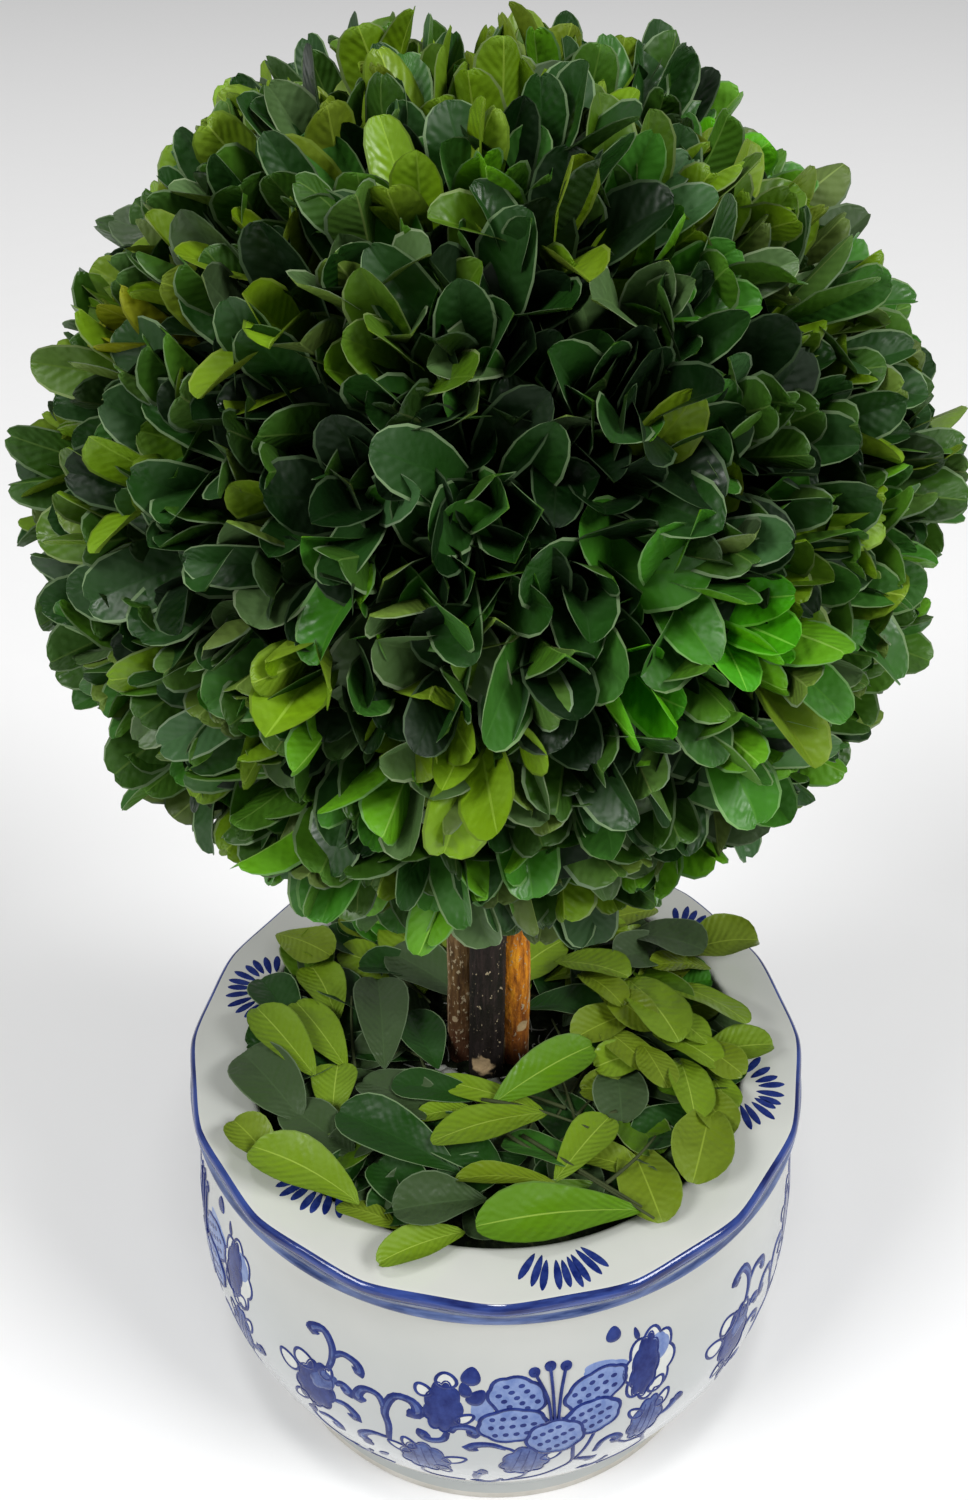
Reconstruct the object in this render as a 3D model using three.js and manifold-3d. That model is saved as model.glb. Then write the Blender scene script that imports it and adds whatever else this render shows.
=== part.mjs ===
// Box topiary ball: leafy sprigs of box on a foam ball, carried by four sticks in a blue-and-white ceramic pot.
// Millimetres, +Z up. The origin is the centre of the pot's flat underside, and the pot's front faces -Y.

import * as THREE from 'three';
import { mergeVertices } from 'three/addons/utils/BufferGeometryUtils.js';
import Module from 'manifold-3d';

const wasm = await Module();
wasm.setup();

// Driving dimensions
const GAP = 0.3;
const TURN = 2 * Math.PI;
const GOLDEN_ANGLE = Math.PI * (3 - Math.sqrt(5));

const pot = {
  height: 89,
  rimRadius: 65,
  lipHeight: 4.7,
  lipRound: 1.5,
  neckRadius: 61.9,
  bellyRadius: 66,
  bellyHeight: 45.5,
  footRadius: 54,
  footHeight: 6.5,
  mouthRadius: 51.5,
  flangeThickness: 4.4,
  wall: 4.6,
  floorRadius: 45.4,
  floorThickness: 7,
  scallops: 16,
  scallopDepth: 0.015,
  segments: 48,
};

const filling = {
  radius: pot.mouthRadius - GAP,
  bottomRadius: pot.floorRadius - GAP,
  bottom: pot.floorThickness + GAP,
  shoulder: 17,
  top: 84,
};

const stick = {
  radius: 3.5,
  spread: 5.2,
  bottom: 42,
  top: 192,
  sides: 9,
  rings: 7,
  knobbliness: 0.06,
};

const trunkX = -2;

const ball = {
  centre: new THREE.Vector3(trunkX, 0, 216.5),
  tipRadius: 71,
  flatness: 0.955,
  tipScatter: 2.3,
  coreRadius: 51,
  coreDetail: 2,
  sprigs: 96,
  sprigJitter: 0.1,
  twigRoot: 45,
  twigTip: 61,
  twigRadius: 1.2,
  bareConeDegrees: 13,
  rollTrials: 24,
};

// Each pair of leaves stands at a distance from the ball's centre, leaning out from its twig by a spread.
const ballLeafPairs = [
  { distance: 50, spreadDegrees: 47, width: 14.5 },
  { distance: 57, spreadDegrees: 24, width: 13.5 },
];

const bed = {
  innerRadius: 10.4,
  outerRadius: filling.radius - GAP,
  bottom: filling.top + GAP,
  edgeHeight: 3.4,
  crestHeight: 4.6,
  crestRadius: 32,
  segments: 32,
  leafLift: 4.0,
  leafWidth: 13,
};

// Rings of loose leaves in the pot: how many lie there, how far out their roots are, and how far they may turn.
const bedRings = [
  { count: 8, rootRadius: 17, length: 22, headingSpreadDegrees: 60 },
  { count: 11, rootRadius: 27, length: 22, headingSpreadDegrees: 50 },
  { count: 12, rootRadius: 36, length: 18, headingSpreadDegrees: 45 },
];

// Leaves that spill over the rim, each from its root to its tip in plan.
const spilledLeaves = [
  { root: [26, -41], tip: [-5, -45.5] },
  { root: [-6, -46], tip: [-22, -54.5] },
  { root: [-27, -39], tip: [-47, -27] },
  { root: [-39, -28], tip: [-52, -21] },
  { root: [-40, -18], tip: [-54, -3] },
  { root: [-37, -7], tip: [-51, 9] },
  { root: [41, -6], tip: [58, -3] },
  { root: [33, -33], tip: [47, -24] },
  { root: [27, -32], tip: [31, -48] },
  { root: [38, 18], tip: [53, 26] },
  { root: [-36, 24], tip: [-48, 30] },
  { root: [8, 41], tip: [20, 52] },
];

const leafThickness = 0.9;
const neighbourRange = 16;

// A small seeded generator, so that every run gives the same plant.
function seededRandom(seed) {
  let state = seed;
  return () => {
    state = (state + 0x6d2b79f5) | 0;
    let mixed = Math.imul(state ^ (state >>> 15), 1 | state);
    mixed = (mixed + Math.imul(mixed ^ (mixed >>> 7), 61 | mixed)) ^ mixed;
    return ((mixed ^ (mixed >>> 14)) >>> 0) / 4294967296;
  };
}

// Closed solids from three.js geometry, and back again

function solidFrom(geometry) {
  const bare = new THREE.BufferGeometry();
  bare.setAttribute('position', geometry.getAttribute('position').clone());
  bare.setIndex(geometry.index);
  const welded = mergeVertices(bare, 1e-4);
  const corners = [];
  for (let i = 0; i < welded.index.count; i += 3) {
    const [a, b, c] = [0, 1, 2].map((k) => welded.index.getX(i + k));
    if (a !== b && b !== c && c !== a) corners.push(a, b, c);
  }
  return new wasm.Manifold(new wasm.Mesh({
    numProp: 3,
    vertProperties: new Float32Array(welded.getAttribute('position').array),
    triVerts: new Uint32Array(corners),
  }));
}

function geometryFrom(solid) {
  const mesh = solid.getMesh();
  const geometry = new THREE.BufferGeometry();
  geometry.setAttribute('position', new THREE.BufferAttribute(mesh.vertProperties, 3));
  geometry.setIndex(new THREE.BufferAttribute(mesh.triVerts, 1));
  geometry.computeVertexNormals();
  return geometry;
}

// Joins a list of solids and keeps the largest piece, which also fills sealed hollows and drops loose scraps.
function fuse(solids, cutters = []) {
  let whole = wasm.Manifold.union(solids);
  for (const cutter of cutters) whole = whole.subtract(cutter);
  return whole.decompose().reduce((best, piece) => (piece.volume() > best.volume() ? piece : best));
}

// Turns a profile of [radius, height] corners about Z, starting at the pot's front.
function turned(profile, segments) {
  const points = profile.map(([radius, height]) => new THREE.Vector2(radius, height));
  return new THREE.LatheGeometry(points, segments).rotateX(Math.PI / 2);
}

function upright(radius, bottom, top, sides) {
  const cylinder = new THREE.CylinderGeometry(radius, radius, top - bottom, sides).rotateX(Math.PI / 2);
  return cylinder.translate(0, 0, (top + bottom) / 2);
}

// Pot

// The body swells from its foot to its belly and draws in to the neck, along two quarter waves.
function bodyRadius(height) {
  const { bellyRadius, bellyHeight, footRadius, footHeight, neckRadius, lipHeight } = pot;
  const below = height < bellyHeight;
  const end = below ? footHeight : pot.height - lipHeight;
  const endRadius = below ? footRadius : neckRadius;
  const travel = (height - bellyHeight) / (end - bellyHeight);
  return endRadius + (bellyRadius - endRadius) * Math.cos((Math.PI / 2) * travel);
}

function potProfile() {
  const { height, rimRadius, lipHeight, lipRound, footRadius, footHeight, mouthRadius } = pot;
  const lipBottom = height - lipHeight;
  const bodyHeights = [0.5, 12, 24, 38, 52, 66, 77].map((rise) => footHeight + rise);
  const outside = bodyHeights.map((z) => [bodyRadius(z), z]);
  const inside = [70, 45, 22].map((z) => [bodyRadius(z) - pot.wall, z]);
  return [
    [0, 0],
    [footRadius - 1, 0],
    [footRadius, 1],
    [footRadius - 0.6, footHeight],
    ...outside,
    [rimRadius - lipRound, lipBottom],
    [rimRadius, lipBottom + lipRound],
    [rimRadius, height - lipRound],
    [rimRadius - lipRound, height],
    [mouthRadius + lipRound, height],
    [mouthRadius, height - lipRound],
    [mouthRadius, height - pot.flangeThickness],
    ...inside,
    [pot.floorRadius, pot.floorThickness],
    [0, pot.floorThickness],
  ];
}

// The rim's edge is scalloped: shallow arcs that meet in points, from the lip down to nothing at the neck.
function scallop(geometry) {
  const position = geometry.getAttribute('position');
  const { height, rimRadius, lipHeight, scallops, scallopDepth } = pot;
  for (let i = 0; i < position.count; i += 1) {
    const [x, y, z] = [position.getX(i), position.getY(i), position.getZ(i)];
    const atLip = z > height - lipHeight && Math.hypot(x, y) > rimRadius - 2 * pot.lipRound;
    if (!atLip) continue;
    const fromFront = Math.atan2(x, -y);
    const dip = Math.abs(Math.sin((scallops / 2) * fromFront)) ** 0.7;
    const rise = (z - (height - lipHeight)) / lipHeight;
    const shrink = 1 - scallopDepth * dip * rise;
    position.setXYZ(i, x * shrink, y * shrink, z);
  }
  return geometry;
}

function makePot() {
  return geometryFrom(solidFrom(scallop(turned(potProfile(), pot.segments))));
}

// The foam block fills the mouth and carries the sticks in blind holes.
function makeFilling() {
  const { radius, bottomRadius, bottom, shoulder, top } = filling;
  const profile = [[0, bottom], [bottomRadius, bottom], [radius, shoulder], [radius, top], [0, top]];
  const block = solidFrom(turned(profile, pot.segments));
  return geometryFrom(fuse([block], stickHoles(stick.bottom - GAP, top + 1)));
}

// Trunk

const stickPlaces = {
  front: [0, -stick.spread],
  left: [-stick.spread, 0],
  right: [stick.spread, 0],
  back: [0, stick.spread],
};

function stickHoles(bottom, top) {
  const reach = stick.radius + GAP / 2;
  return Object.values(stickPlaces).map(([x, y]) => (
    solidFrom(upright(reach / Math.cos(Math.PI / 12), bottom, top, 12).translate(trunkX + x, y, 0))
  ));
}

// A stick is a turned rod whose radius shrinks a little at seeded rings, as cut twigs do between their knots.
function makeStick(seed) {
  const random = seededRandom(seed);
  const rod = [[0, stick.bottom]];
  for (let ring = 0; ring < stick.rings; ring += 1) {
    const along = ring / (stick.rings - 1);
    const height = stick.bottom + along * (stick.top - stick.bottom);
    rod.push([stick.radius * (1 - stick.knobbliness * random()), height]);
  }
  rod.push([0, stick.top]);
  return geometryFrom(solidFrom(turned(rod, stick.sides)));
}

// Leaves and twigs

// A blade has five corners, widest towards its blunt tip, and is cupped up at its sides.
function leafCorners(length, width) {
  const cup = 0.09 * length;
  return [
    [0, 0, 0],
    [0.5 * width, 0.56 * length, cup],
    [0.27 * width, 0.97 * length, 0.5 * cup],
    [-0.27 * width, 0.97 * length, 0.5 * cup],
    [-0.5 * width, 0.56 * length, cup],
  ].map((corner) => new THREE.Vector3(...corner));
}

// A leaf is placed by its root, the way it points, and the way its upper face looks.
function leafAt(root, along, upper, length, width) {
  const forward = along.clone().normalize();
  const side = new THREE.Vector3().crossVectors(forward, upper).normalize();
  const normal = new THREE.Vector3().crossVectors(side, forward);
  const frame = new THREE.Matrix4().makeBasis(side, forward, normal).setPosition(root);
  const corners = leafCorners(length, width).map((corner) => corner.applyMatrix4(frame));
  const middle = forward.multiplyScalar(0.6 * length).add(root);
  return { root, corners, middle, normal };
}

// The blade as a solid: a low ridge on each face, thinning to the outline.
function leafSolid({ corners, middle, normal }) {
  const top = corners.length;
  const bottom = top + 1;
  const points = [...corners];
  for (const lift of [0.5, -0.5]) points.push(middle.clone().addScaledVector(normal, lift * leafThickness));
  const faces = corners.flatMap((_, i) => {
    const next = (i + 1) % corners.length;
    return [top, i, next, bottom, next, i];
  });
  const geometry = new THREE.BufferGeometry().setFromPoints(points);
  geometry.setIndex(faces);
  return solidFrom(geometry);
}

// Whether an edge of one blade passes through another blade.
function pierces(blade, other) {
  const [apex, ...rest] = other.corners;
  const hit = new THREE.Vector3();
  return blade.corners.some((corner, i) => {
    const edge = blade.corners[(i + 1) % blade.corners.length].clone().sub(corner);
    const ray = new THREE.Ray(corner, edge.clone().normalize());
    return rest.slice(1).some((point, k) => (
      ray.intersectTriangle(apex, rest[k], point, false, hit) && hit.distanceTo(corner) < edge.length()
    ));
  });
}

function crosses(blade, others) {
  const near = others.filter((other) => other.root.distanceTo(blade.root) < 2 * neighbourRange);
  return near.some((other) => pierces(blade, other) || pierces(other, blade));
}

// Leaf ball

// Directions spread evenly over the ball in a spiral, each nudged by the seeded generator.
function sprigDirections(random) {
  const directions = [];
  for (let i = 0; i < ball.sprigs; i += 1) {
    const height = 1 - (2 * i + 1) / ball.sprigs;
    const across = Math.sqrt(1 - height * height);
    const nudge = [0, 1, 2].map(() => ball.sprigJitter * (2 * random() - 1));
    directions.push(new THREE.Vector3(
      across * Math.cos(i * GOLDEN_ANGLE) + nudge[0],
      across * Math.sin(i * GOLDEN_ANGLE) + nudge[1],
      height + nudge[2],
    ).normalize());
  }
  return directions;
}

// How far a leaf grows from its root before it meets the clipped surface, a ball that is a little flat.
function lengthToReach(root, along, reach) {
  const round = new THREE.Vector3(1, 1, 1 / ball.flatness);
  const [from, step] = [root, along].map((vector) => vector.clone().multiply(round));
  const ahead = from.dot(step);
  return (Math.sqrt(ahead * ahead - step.lengthSq() * (from.lengthSq() - reach * reach)) - ahead) / step.lengthSq();
}

// The leaves of one sprig stand in pairs that cross each other round its twig.
function sprigLeaves(direction, roll, random) {
  const side = new THREE.Vector3(0.3, 0.2, 1).cross(direction).normalize().applyAxisAngle(direction, roll);
  return ballLeafPairs.flatMap((pair, level) => [0, 0.5].map((half) => {
    const outward = side.clone().applyAxisAngle(direction, (level / 4 + half) * TURN);
    const spread = THREE.MathUtils.degToRad(pair.spreadDegrees * (0.85 + 0.3 * random()));
    const along = direction.clone().multiplyScalar(Math.cos(spread)).addScaledVector(outward, Math.sin(spread));
    const root = direction.clone().multiplyScalar(pair.distance);
    const reach = ball.tipRadius + ball.tipScatter * (2 * random() - 1);
    return leafAt(root, along, direction, lengthToReach(root, along, reach), pair.width);
  }));
}

// Each sprig is rolled to where the fewest of its leaves would cut a neighbour's, and those are then left off.
function growLeaves(directions, random) {
  const grown = [];
  for (const direction of directions) {
    let best = [];
    for (let trial = 0; trial < ball.rollTrials; trial += 1) {
      const leaves = sprigLeaves(direction, TURN * random(), random);
      const clear = leaves.filter((leaf) => !crosses(leaf, grown));
      if (clear.length > best.length) best = clear;
    }
    grown.push(...best);
  }
  return grown;
}

// A three-sided twig that tapers to a point, straight out of the core.
function sprigTwig(direction) {
  const length = ball.twigTip - ball.twigRoot;
  const turn = new THREE.Quaternion().setFromUnitVectors(new THREE.Vector3(0, 1, 0), direction);
  const spike = new THREE.ConeGeometry(ball.twigRadius, length, 3).translate(0, ball.twigRoot + length / 2, 0);
  return solidFrom(spike.applyQuaternion(turn));
}

function makeLeafBall() {
  const random = seededRandom(11);
  const lowest = -Math.cos(THREE.MathUtils.degToRad(ball.bareConeDegrees));
  const sprigs = sprigDirections(random).filter((direction) => direction.z > lowest);
  const core = solidFrom(new THREE.IcosahedronGeometry(ball.coreRadius, ball.coreDetail));
  const leaves = growLeaves(sprigs, random);
  const solids = [core, ...sprigs.map(sprigTwig), ...leaves.map(leafSolid)];
  const { x, y, z } = ball.centre;
  const holes = stickHoles(pot.height, stick.top + GAP).map((hole) => hole.translate([-x, -y, -z]));
  return geometryFrom(fuse(solids, holes));
}

// Leaf bed

// A loose leaf in the pot climbs from its root in the litter to its tip.
function laidLeaf(root, tip, width) {
  const from = new THREE.Vector3(root[0], root[1], bed.bottom + bed.edgeHeight - leafThickness);
  const along = new THREE.Vector3(tip[0], tip[1], from.z + bed.leafLift).sub(from);
  return leafSolid(leafAt(from, along, new THREE.Vector3(0, 0, 1), along.length(), width));
}

function ringLeaves(ring, random) {
  const leaves = [];
  for (let i = 0; i < ring.count; i += 1) {
    const azimuth = TURN * ((i + 0.6 * random()) / ring.count);
    const spread = THREE.MathUtils.degToRad(ring.headingSpreadDegrees) * (2 * random() - 1);
    const root = [ring.rootRadius * Math.cos(azimuth), ring.rootRadius * Math.sin(azimuth)];
    const heading = azimuth + spread;
    const tip = [root[0] + ring.length * Math.cos(heading), root[1] + ring.length * Math.sin(heading)];
    leaves.push(laidLeaf(root, tip, bed.leafWidth));
  }
  return leaves;
}

// The litter is a low ring round the sticks that every loose leaf is rooted in.
function litterRing() {
  const top = bed.bottom + bed.edgeHeight;
  return solidFrom(turned([
    [bed.innerRadius, bed.bottom],
    [bed.outerRadius, bed.bottom],
    [bed.outerRadius, top],
    [bed.crestRadius, bed.bottom + bed.crestHeight],
    [bed.innerRadius, top],
    [bed.innerRadius, bed.bottom],
  ], bed.segments));
}

// The space of the flange and a gap over it, which no leaf enters.
function flangeSpace() {
  const [inner, outer] = [filling.radius, pot.rimRadius + 5];
  const [bottom, top] = [filling.top - 2, pot.height + GAP];
  return solidFrom(turned(
    [[inner, bottom], [outer, bottom], [outer, top], [inner, top], [inner, bottom]],
    pot.segments,
  ));
}

function makeLeafBed() {
  const random = seededRandom(5);
  const leaves = bedRings.flatMap((ring) => ringLeaves(ring, random));
  leaves.push(...spilledLeaves.map(({ root, tip }) => laidLeaf(root, tip, bed.leafWidth)));
  const cutters = [flangeSpace(), ...stickHoles(filling.bottom, ball.centre.z)];
  return geometryFrom(fuse([litterRing(), ...leaves], cutters));
}

// Materials

const glaze = new THREE.MeshStandardMaterial({ color: '#dcdcd6', roughness: 0.15 });
const foam = new THREE.MeshStandardMaterial({ color: '#4a4234', roughness: 0.95 });
const boxLeaf = new THREE.MeshStandardMaterial({ color: '#2f4f22', roughness: 0.6 });
const fadedLeaf = new THREE.MeshStandardMaterial({ color: '#5c7a22', roughness: 0.65 });
const barkColours = { front: '#2a1a16', left: '#5a4030', right: '#9a5a22', back: '#4a3426' };

function named(name, geometry, material) {
  const mesh = new THREE.Mesh(geometry, material);
  mesh.name = name;
  return mesh;
}

// The trunk is a bundle of four sticks, one in each quarter.
function makeTrunk() {
  const trunk = new THREE.Group();
  trunk.position.x = trunkX;
  Object.entries(stickPlaces).forEach(([side, [x, y]], i) => {
    const bark = new THREE.MeshStandardMaterial({ color: barkColours[side], roughness: 0.8 });
    const rod = named(`stick_${side}`, makeStick(21 + i), bark);
    rod.position.set(x, y, 0);
    trunk.add(rod);
  });
  return trunk;
}

const topiary = new THREE.Group();
topiary.add(named('pot', makePot(), glaze));
topiary.add(named('pot_filling', makeFilling(), foam));
topiary.add(makeTrunk());
const leafBall = named('leaf_ball', makeLeafBall(), boxLeaf);
leafBall.position.copy(ball.centre);
topiary.add(leafBall);
topiary.add(named('leaf_bed', makeLeafBed(), fadedLeaf));

export default topiary;
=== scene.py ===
"""Box topiary ball: leafy sprigs of box on a ball, carried by four sticks in a blue-and-white ceramic pot.

Shapes are worked out in millimetres and become metres when a mesh is made. +Z is up from the pot's flat
underside, and the pot's painted front faces -Y. An azimuth is in degrees from +X, turning towards +Y, so
that the front is at 270.
"""

import bpy
import numpy as np
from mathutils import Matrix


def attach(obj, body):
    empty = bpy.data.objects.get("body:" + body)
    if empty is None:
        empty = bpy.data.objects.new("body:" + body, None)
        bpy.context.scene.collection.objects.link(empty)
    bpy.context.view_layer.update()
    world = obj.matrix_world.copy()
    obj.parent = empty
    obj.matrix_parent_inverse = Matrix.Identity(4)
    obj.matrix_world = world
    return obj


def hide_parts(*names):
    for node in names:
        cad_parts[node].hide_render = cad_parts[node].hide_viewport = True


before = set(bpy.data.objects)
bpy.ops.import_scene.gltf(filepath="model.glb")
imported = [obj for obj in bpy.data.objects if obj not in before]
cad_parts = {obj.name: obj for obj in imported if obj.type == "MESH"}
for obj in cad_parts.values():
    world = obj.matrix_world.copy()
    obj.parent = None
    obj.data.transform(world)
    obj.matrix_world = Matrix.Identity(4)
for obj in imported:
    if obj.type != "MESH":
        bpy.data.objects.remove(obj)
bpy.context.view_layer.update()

MILLIMETRE = 0.001
TURN = 2 * np.pi
GOLDEN_ANGLE = np.pi * (3 - np.sqrt(5))
CREASE = 60

# Pot
POT_HEIGHT = 89.0
RIM_RADIUS = 65.0
LIP_HEIGHT = 4.7
LIP_ROUND = 1.5
BEAD_ROUND = 1.1
RIM_ROUND = 1.6
NECK_RADIUS = 61.9
BELLY_RADIUS = 66.0
BELLY_HEIGHT = 45.5
FOOT_RADIUS = 54.0
FOOT_HEIGHT = 6.5
FOOT_ROUND = 1.3
FOOT_LINE_WIDTH = 1.2
MOUTH_RADIUS = 51.5
FLANGE_THICKNESS = 4.4
POT_WALL = 4.6
FLOOR_RADIUS = 45.4
FLOOR_THICKNESS = 7.0
SCALLOPS = 16
SCALLOP_DEPTH = 0.012
NECK_HEIGHT = POT_HEIGHT - LIP_HEIGHT
LIP_BOTTOM = NECK_HEIGHT - 1.0

# Filling and sticks
FILLING_RADIUS = 51.2
FILLING_BOTTOM = 7.3
FILLING_BOTTOM_RADIUS = 45.1
FILLING_SHOULDER = 17.0
FILLING_TOP = 84.0
STICK_RADIUS = 3.5
STICK_SPREAD = 5.2
STICK_BOTTOM = 42.0
STICK_TOP = 192.0
TRUNK_X = -2.0

# Ball
BALL_CENTRE = np.array([TRUNK_X, 0.0, 216.5])
BALL_REACH = 71.0
BALL_FLATNESS = 0.955
SPRIG_SCATTER = 2.1
LEAF_SCATTER = 2.6
CORE_RADIUS = 47.0
TWIG_ROOT = 44.0
SPRIGS = 490
SPRIG_JITTER = 0.055
BARE_CONE = 13.0
# How much farther leaves reach where they hang and on the crest that the camera sees, and from what height
# on a ball of radius one.
DROOP, DROOP_FROM = 5.0, 0.35
CREST, CREST_FROM = 5.5, 0.55
HANGING_LONGER, HANGING_WIDER = 0.10, 0.13

# Camera, worked out from the rim, the pot's outline and the ball in the photograph
CAMERA_PLACE = (-2.5, -219.7, 328.9)
CAMERA_PITCH = 53.3
CAMERA_LENS = 36.0


# Places and directions

def full_turn(steps):
    """Angles in equal steps round a full turn."""
    return np.arange(steps) / steps * TURN


def cylinder_points(radius, azimuth, height):
    """Points from their distance to the Z axis, azimuth in radians and height, on a common grid."""
    return np.stack(np.broadcast_arrays(radius * np.cos(azimuth), radius * np.sin(azimuth), height), -1)


def turned(profile, azimuth):
    """A profile of [radius, height] turned about Z: a ring of points for each row."""
    return cylinder_points(profile[:, :1], azimuth, profile[:, 1:])


def sphere_points(rings, around):
    """Rings of a unit sphere from below to above, without its poles."""
    polar = np.linspace(np.pi, 0, rings + 2)[1:-1, None]
    return cylinder_points(np.sin(polar), full_turn(around), np.cos(polar))


def plan_direction(azimuth):
    return np.array([np.cos(azimuth), np.sin(azimuth)])


def unit(vectors):
    return vectors / np.linalg.norm(vectors, axis=-1, keepdims=True)


def ripples(points, wavelength, seed):
    """Smooth uneven relief from -1 to 1: the mean of plane sine waves with seeded directions and phases."""
    random = np.random.default_rng(seed)
    waves = 14
    directions = random.normal(size=(waves, 3))
    directions /= np.linalg.norm(directions, axis=1)[:, None]
    pace = TURN / wavelength * random.uniform(0.6, 1.6, waves)
    phase = random.uniform(0, TURN, waves)
    return np.sin(points @ (directions * pace[:, None]).T + phase).sum(-1) / np.sqrt(waves) * 0.7


def rays(starts, headings, lengths, place):
    """Straight paths from each start along its heading, with a point at each share of its length."""
    return starts[:, None] + headings[:, None] * (lengths[:, None] * place)[..., None]


def bends(random, count, size, profile):
    """Seeded offsets for each path: a random vector of the given size, times a profile along the path."""
    return random.normal(size=(count, 1, 3)) * np.array(size) * profile[None, :, None]


def spline(points, samples):
    """A smooth curve through points: on each span a cubic whose end slopes join the neighbouring points."""
    points = np.asarray(points, float)
    padded = np.concatenate([2 * points[:1] - points[1:2], points, 2 * points[-1:] - points[-2:-1]])
    place = np.linspace(0, len(points) - 1, samples)
    span = np.minimum(place.astype(int), len(points) - 2)
    t = (place - span)[:, None]
    a, b, c, d = (padded[span + k] for k in range(4))
    slope_b, slope_c = (c - a) / 2, (d - b) / 2
    return (
        b * (2 * t**3 - 3 * t**2 + 1)
        + c * (3 * t**2 - 2 * t**3)
        + slope_b * (t**3 - 2 * t**2 + t)
        + slope_c * (t**3 - t**2)
    )


# Surfaces. A surface is a tuple: points, corner lists of four, of three, and a material number for each.

def lofted(rings, first_pole=None, last_pole=None, slots=0):
    """Joins closed rings of points, each to the next, with a fan of triangles to a pole at either end.

    rings is (m, n, 3); a ring turns anticlockwise seen from the ring that follows it, so faces look
    outwards. slots is one material number, or one for each band between two rings."""
    count, around = rings.shape[:2]
    corner = np.arange(count * around).reshape(count, around)
    following = np.roll(corner, -1, axis=1)
    fours = np.stack([corner[:-1], following[:-1], following[1:], corner[1:]], -1).reshape(-1, 4)
    band = np.broadcast_to(slots, count - 1)
    points, threes, three_slots = [rings.reshape(-1, 3)], [np.zeros((0, 3), int)], [np.zeros(0, int)]
    for pole, end, order in ((first_pole, 0, (0, 2, 1)), (last_pole, -1, (0, 1, 2))):
        if pole is None:
            continue
        tip = np.full(around, sum(len(p) for p in points))
        points.append(np.reshape(pole, (1, 3)))
        threes.append(np.stack([tip, corner[end], following[end]], -1)[:, order])
        three_slots.append(np.full(around, band[end]))
    points, threes, three_slots = (np.concatenate(parts) for parts in (points, threes, three_slots))
    return points, fours, threes, np.repeat(band, around), three_slots


def joined(surfaces):
    """Lays surfaces end to end, with each one's corner numbers moved on past the points before it."""
    starts = np.cumsum([0] + [len(s[0]) for s in surfaces[:-1]])
    moved = [(s[0], s[1] + start, s[2] + start, s[3], s[4]) for s, start in zip(surfaces, starts)]
    return tuple(np.concatenate(parts) for parts in zip(*moved))


def tubes(paths, radii, sides):
    """Closed tubes along many paths at once, paths (k, m, 3) and radii (k, m), each end closed by a fan.

    A ring stands square to its path: one axis is the path's step crossed with a fixed slant."""
    step = unit(np.gradient(paths, axis=1))
    side = unit(np.cross(step, unit(np.array([0.31, 0.23, 0.92]))))
    other = np.cross(step, side)
    angle = full_turn(sides)
    ring = side[:, :, None] * np.cos(angle)[:, None] + other[:, :, None] * np.sin(angle)[:, None]
    rings = paths[:, :, None] + ring * radii[:, :, None, None]
    return joined([lofted(r, path[0], path[-1]) for r, path in zip(rings, paths)])


def make_piece(name, surface, materials, replaces=(), uv=None, mark=None, sharp=None):
    """Makes a mesh object at the origin from a surface in millimetres. It rides on the part's one body.

    uv holds a pair and mark a number for each point; past sharp degrees an edge is shaded as a crease."""
    points, fours, threes, four_slots, three_slots = surface
    corners = np.concatenate([fours.ravel(), threes.ravel()]).astype(np.int32)
    starts = np.concatenate([np.arange(len(fours)) * 4, 4 * len(fours) + np.arange(len(threes)) * 3])
    slots = np.concatenate([four_slots, three_slots])
    mesh = bpy.data.meshes.new(name)
    mesh.vertices.add(len(points))
    mesh.vertices.foreach_set("co", (points * MILLIMETRE).astype(np.float32).ravel())
    mesh.loops.add(len(corners))
    mesh.loops.foreach_set("vertex_index", corners)
    mesh.polygons.add(len(starts))
    mesh.polygons.foreach_set("loop_start", starts.astype(np.int32))
    mesh.polygons.foreach_set("material_index", slots.astype(np.int32))
    mesh.update(calc_edges=True)
    mesh.polygons.foreach_set("use_smooth", np.ones(len(starts), bool))
    if uv is not None:
        mesh.uv_layers.new(name="UVMap").data.foreach_set("uv", uv[corners].astype(np.float32).ravel())
    if mark is not None:
        mesh.attributes.new("mark", "FLOAT", "POINT").data.foreach_set("value", mark.astype(np.float32))
    if sharp is not None:
        mesh.set_sharp_from_angle(angle=np.radians(sharp))
    for material in materials:
        mesh.materials.append(material)
    piece = bpy.data.objects.new(name, mesh)
    bpy.context.scene.collection.objects.link(piece)
    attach(piece, "root")
    if replaces:
        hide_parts(*replaces)
    return piece


# Materials

def new_material(name, colour, roughness, gloss=0.5, coat=0.0):
    """A principled material with a plain colour, its specular level, and a clear coat over it."""
    material = bpy.data.materials.new(name)
    material.use_nodes = True
    shader = material.node_tree.nodes["Principled BSDF"]
    shader.inputs["Base Color"].default_value = (*colour, 1)
    shader.inputs["Roughness"].default_value = roughness
    shader.inputs["Specular IOR Level"].default_value = gloss
    shader.inputs["Coat Weight"].default_value = coat
    shader.inputs["Coat Roughness"].default_value = 0.05
    material.diffuse_color = (*colour, 1)
    return material


def node(material, kind, inputs=None, **properties):
    """Adds a node. inputs gives sockets, by name or number, a plain value or the output to link."""
    made = material.node_tree.nodes.new(kind)
    for key, value in properties.items():
        setattr(made, key, value)
    for key, value in (inputs or {}).items():
        if isinstance(value, bpy.types.NodeSocket):
            material.node_tree.links.new(value, made.inputs[key])
        else:
            made.inputs[key].default_value = value
    return made


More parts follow.
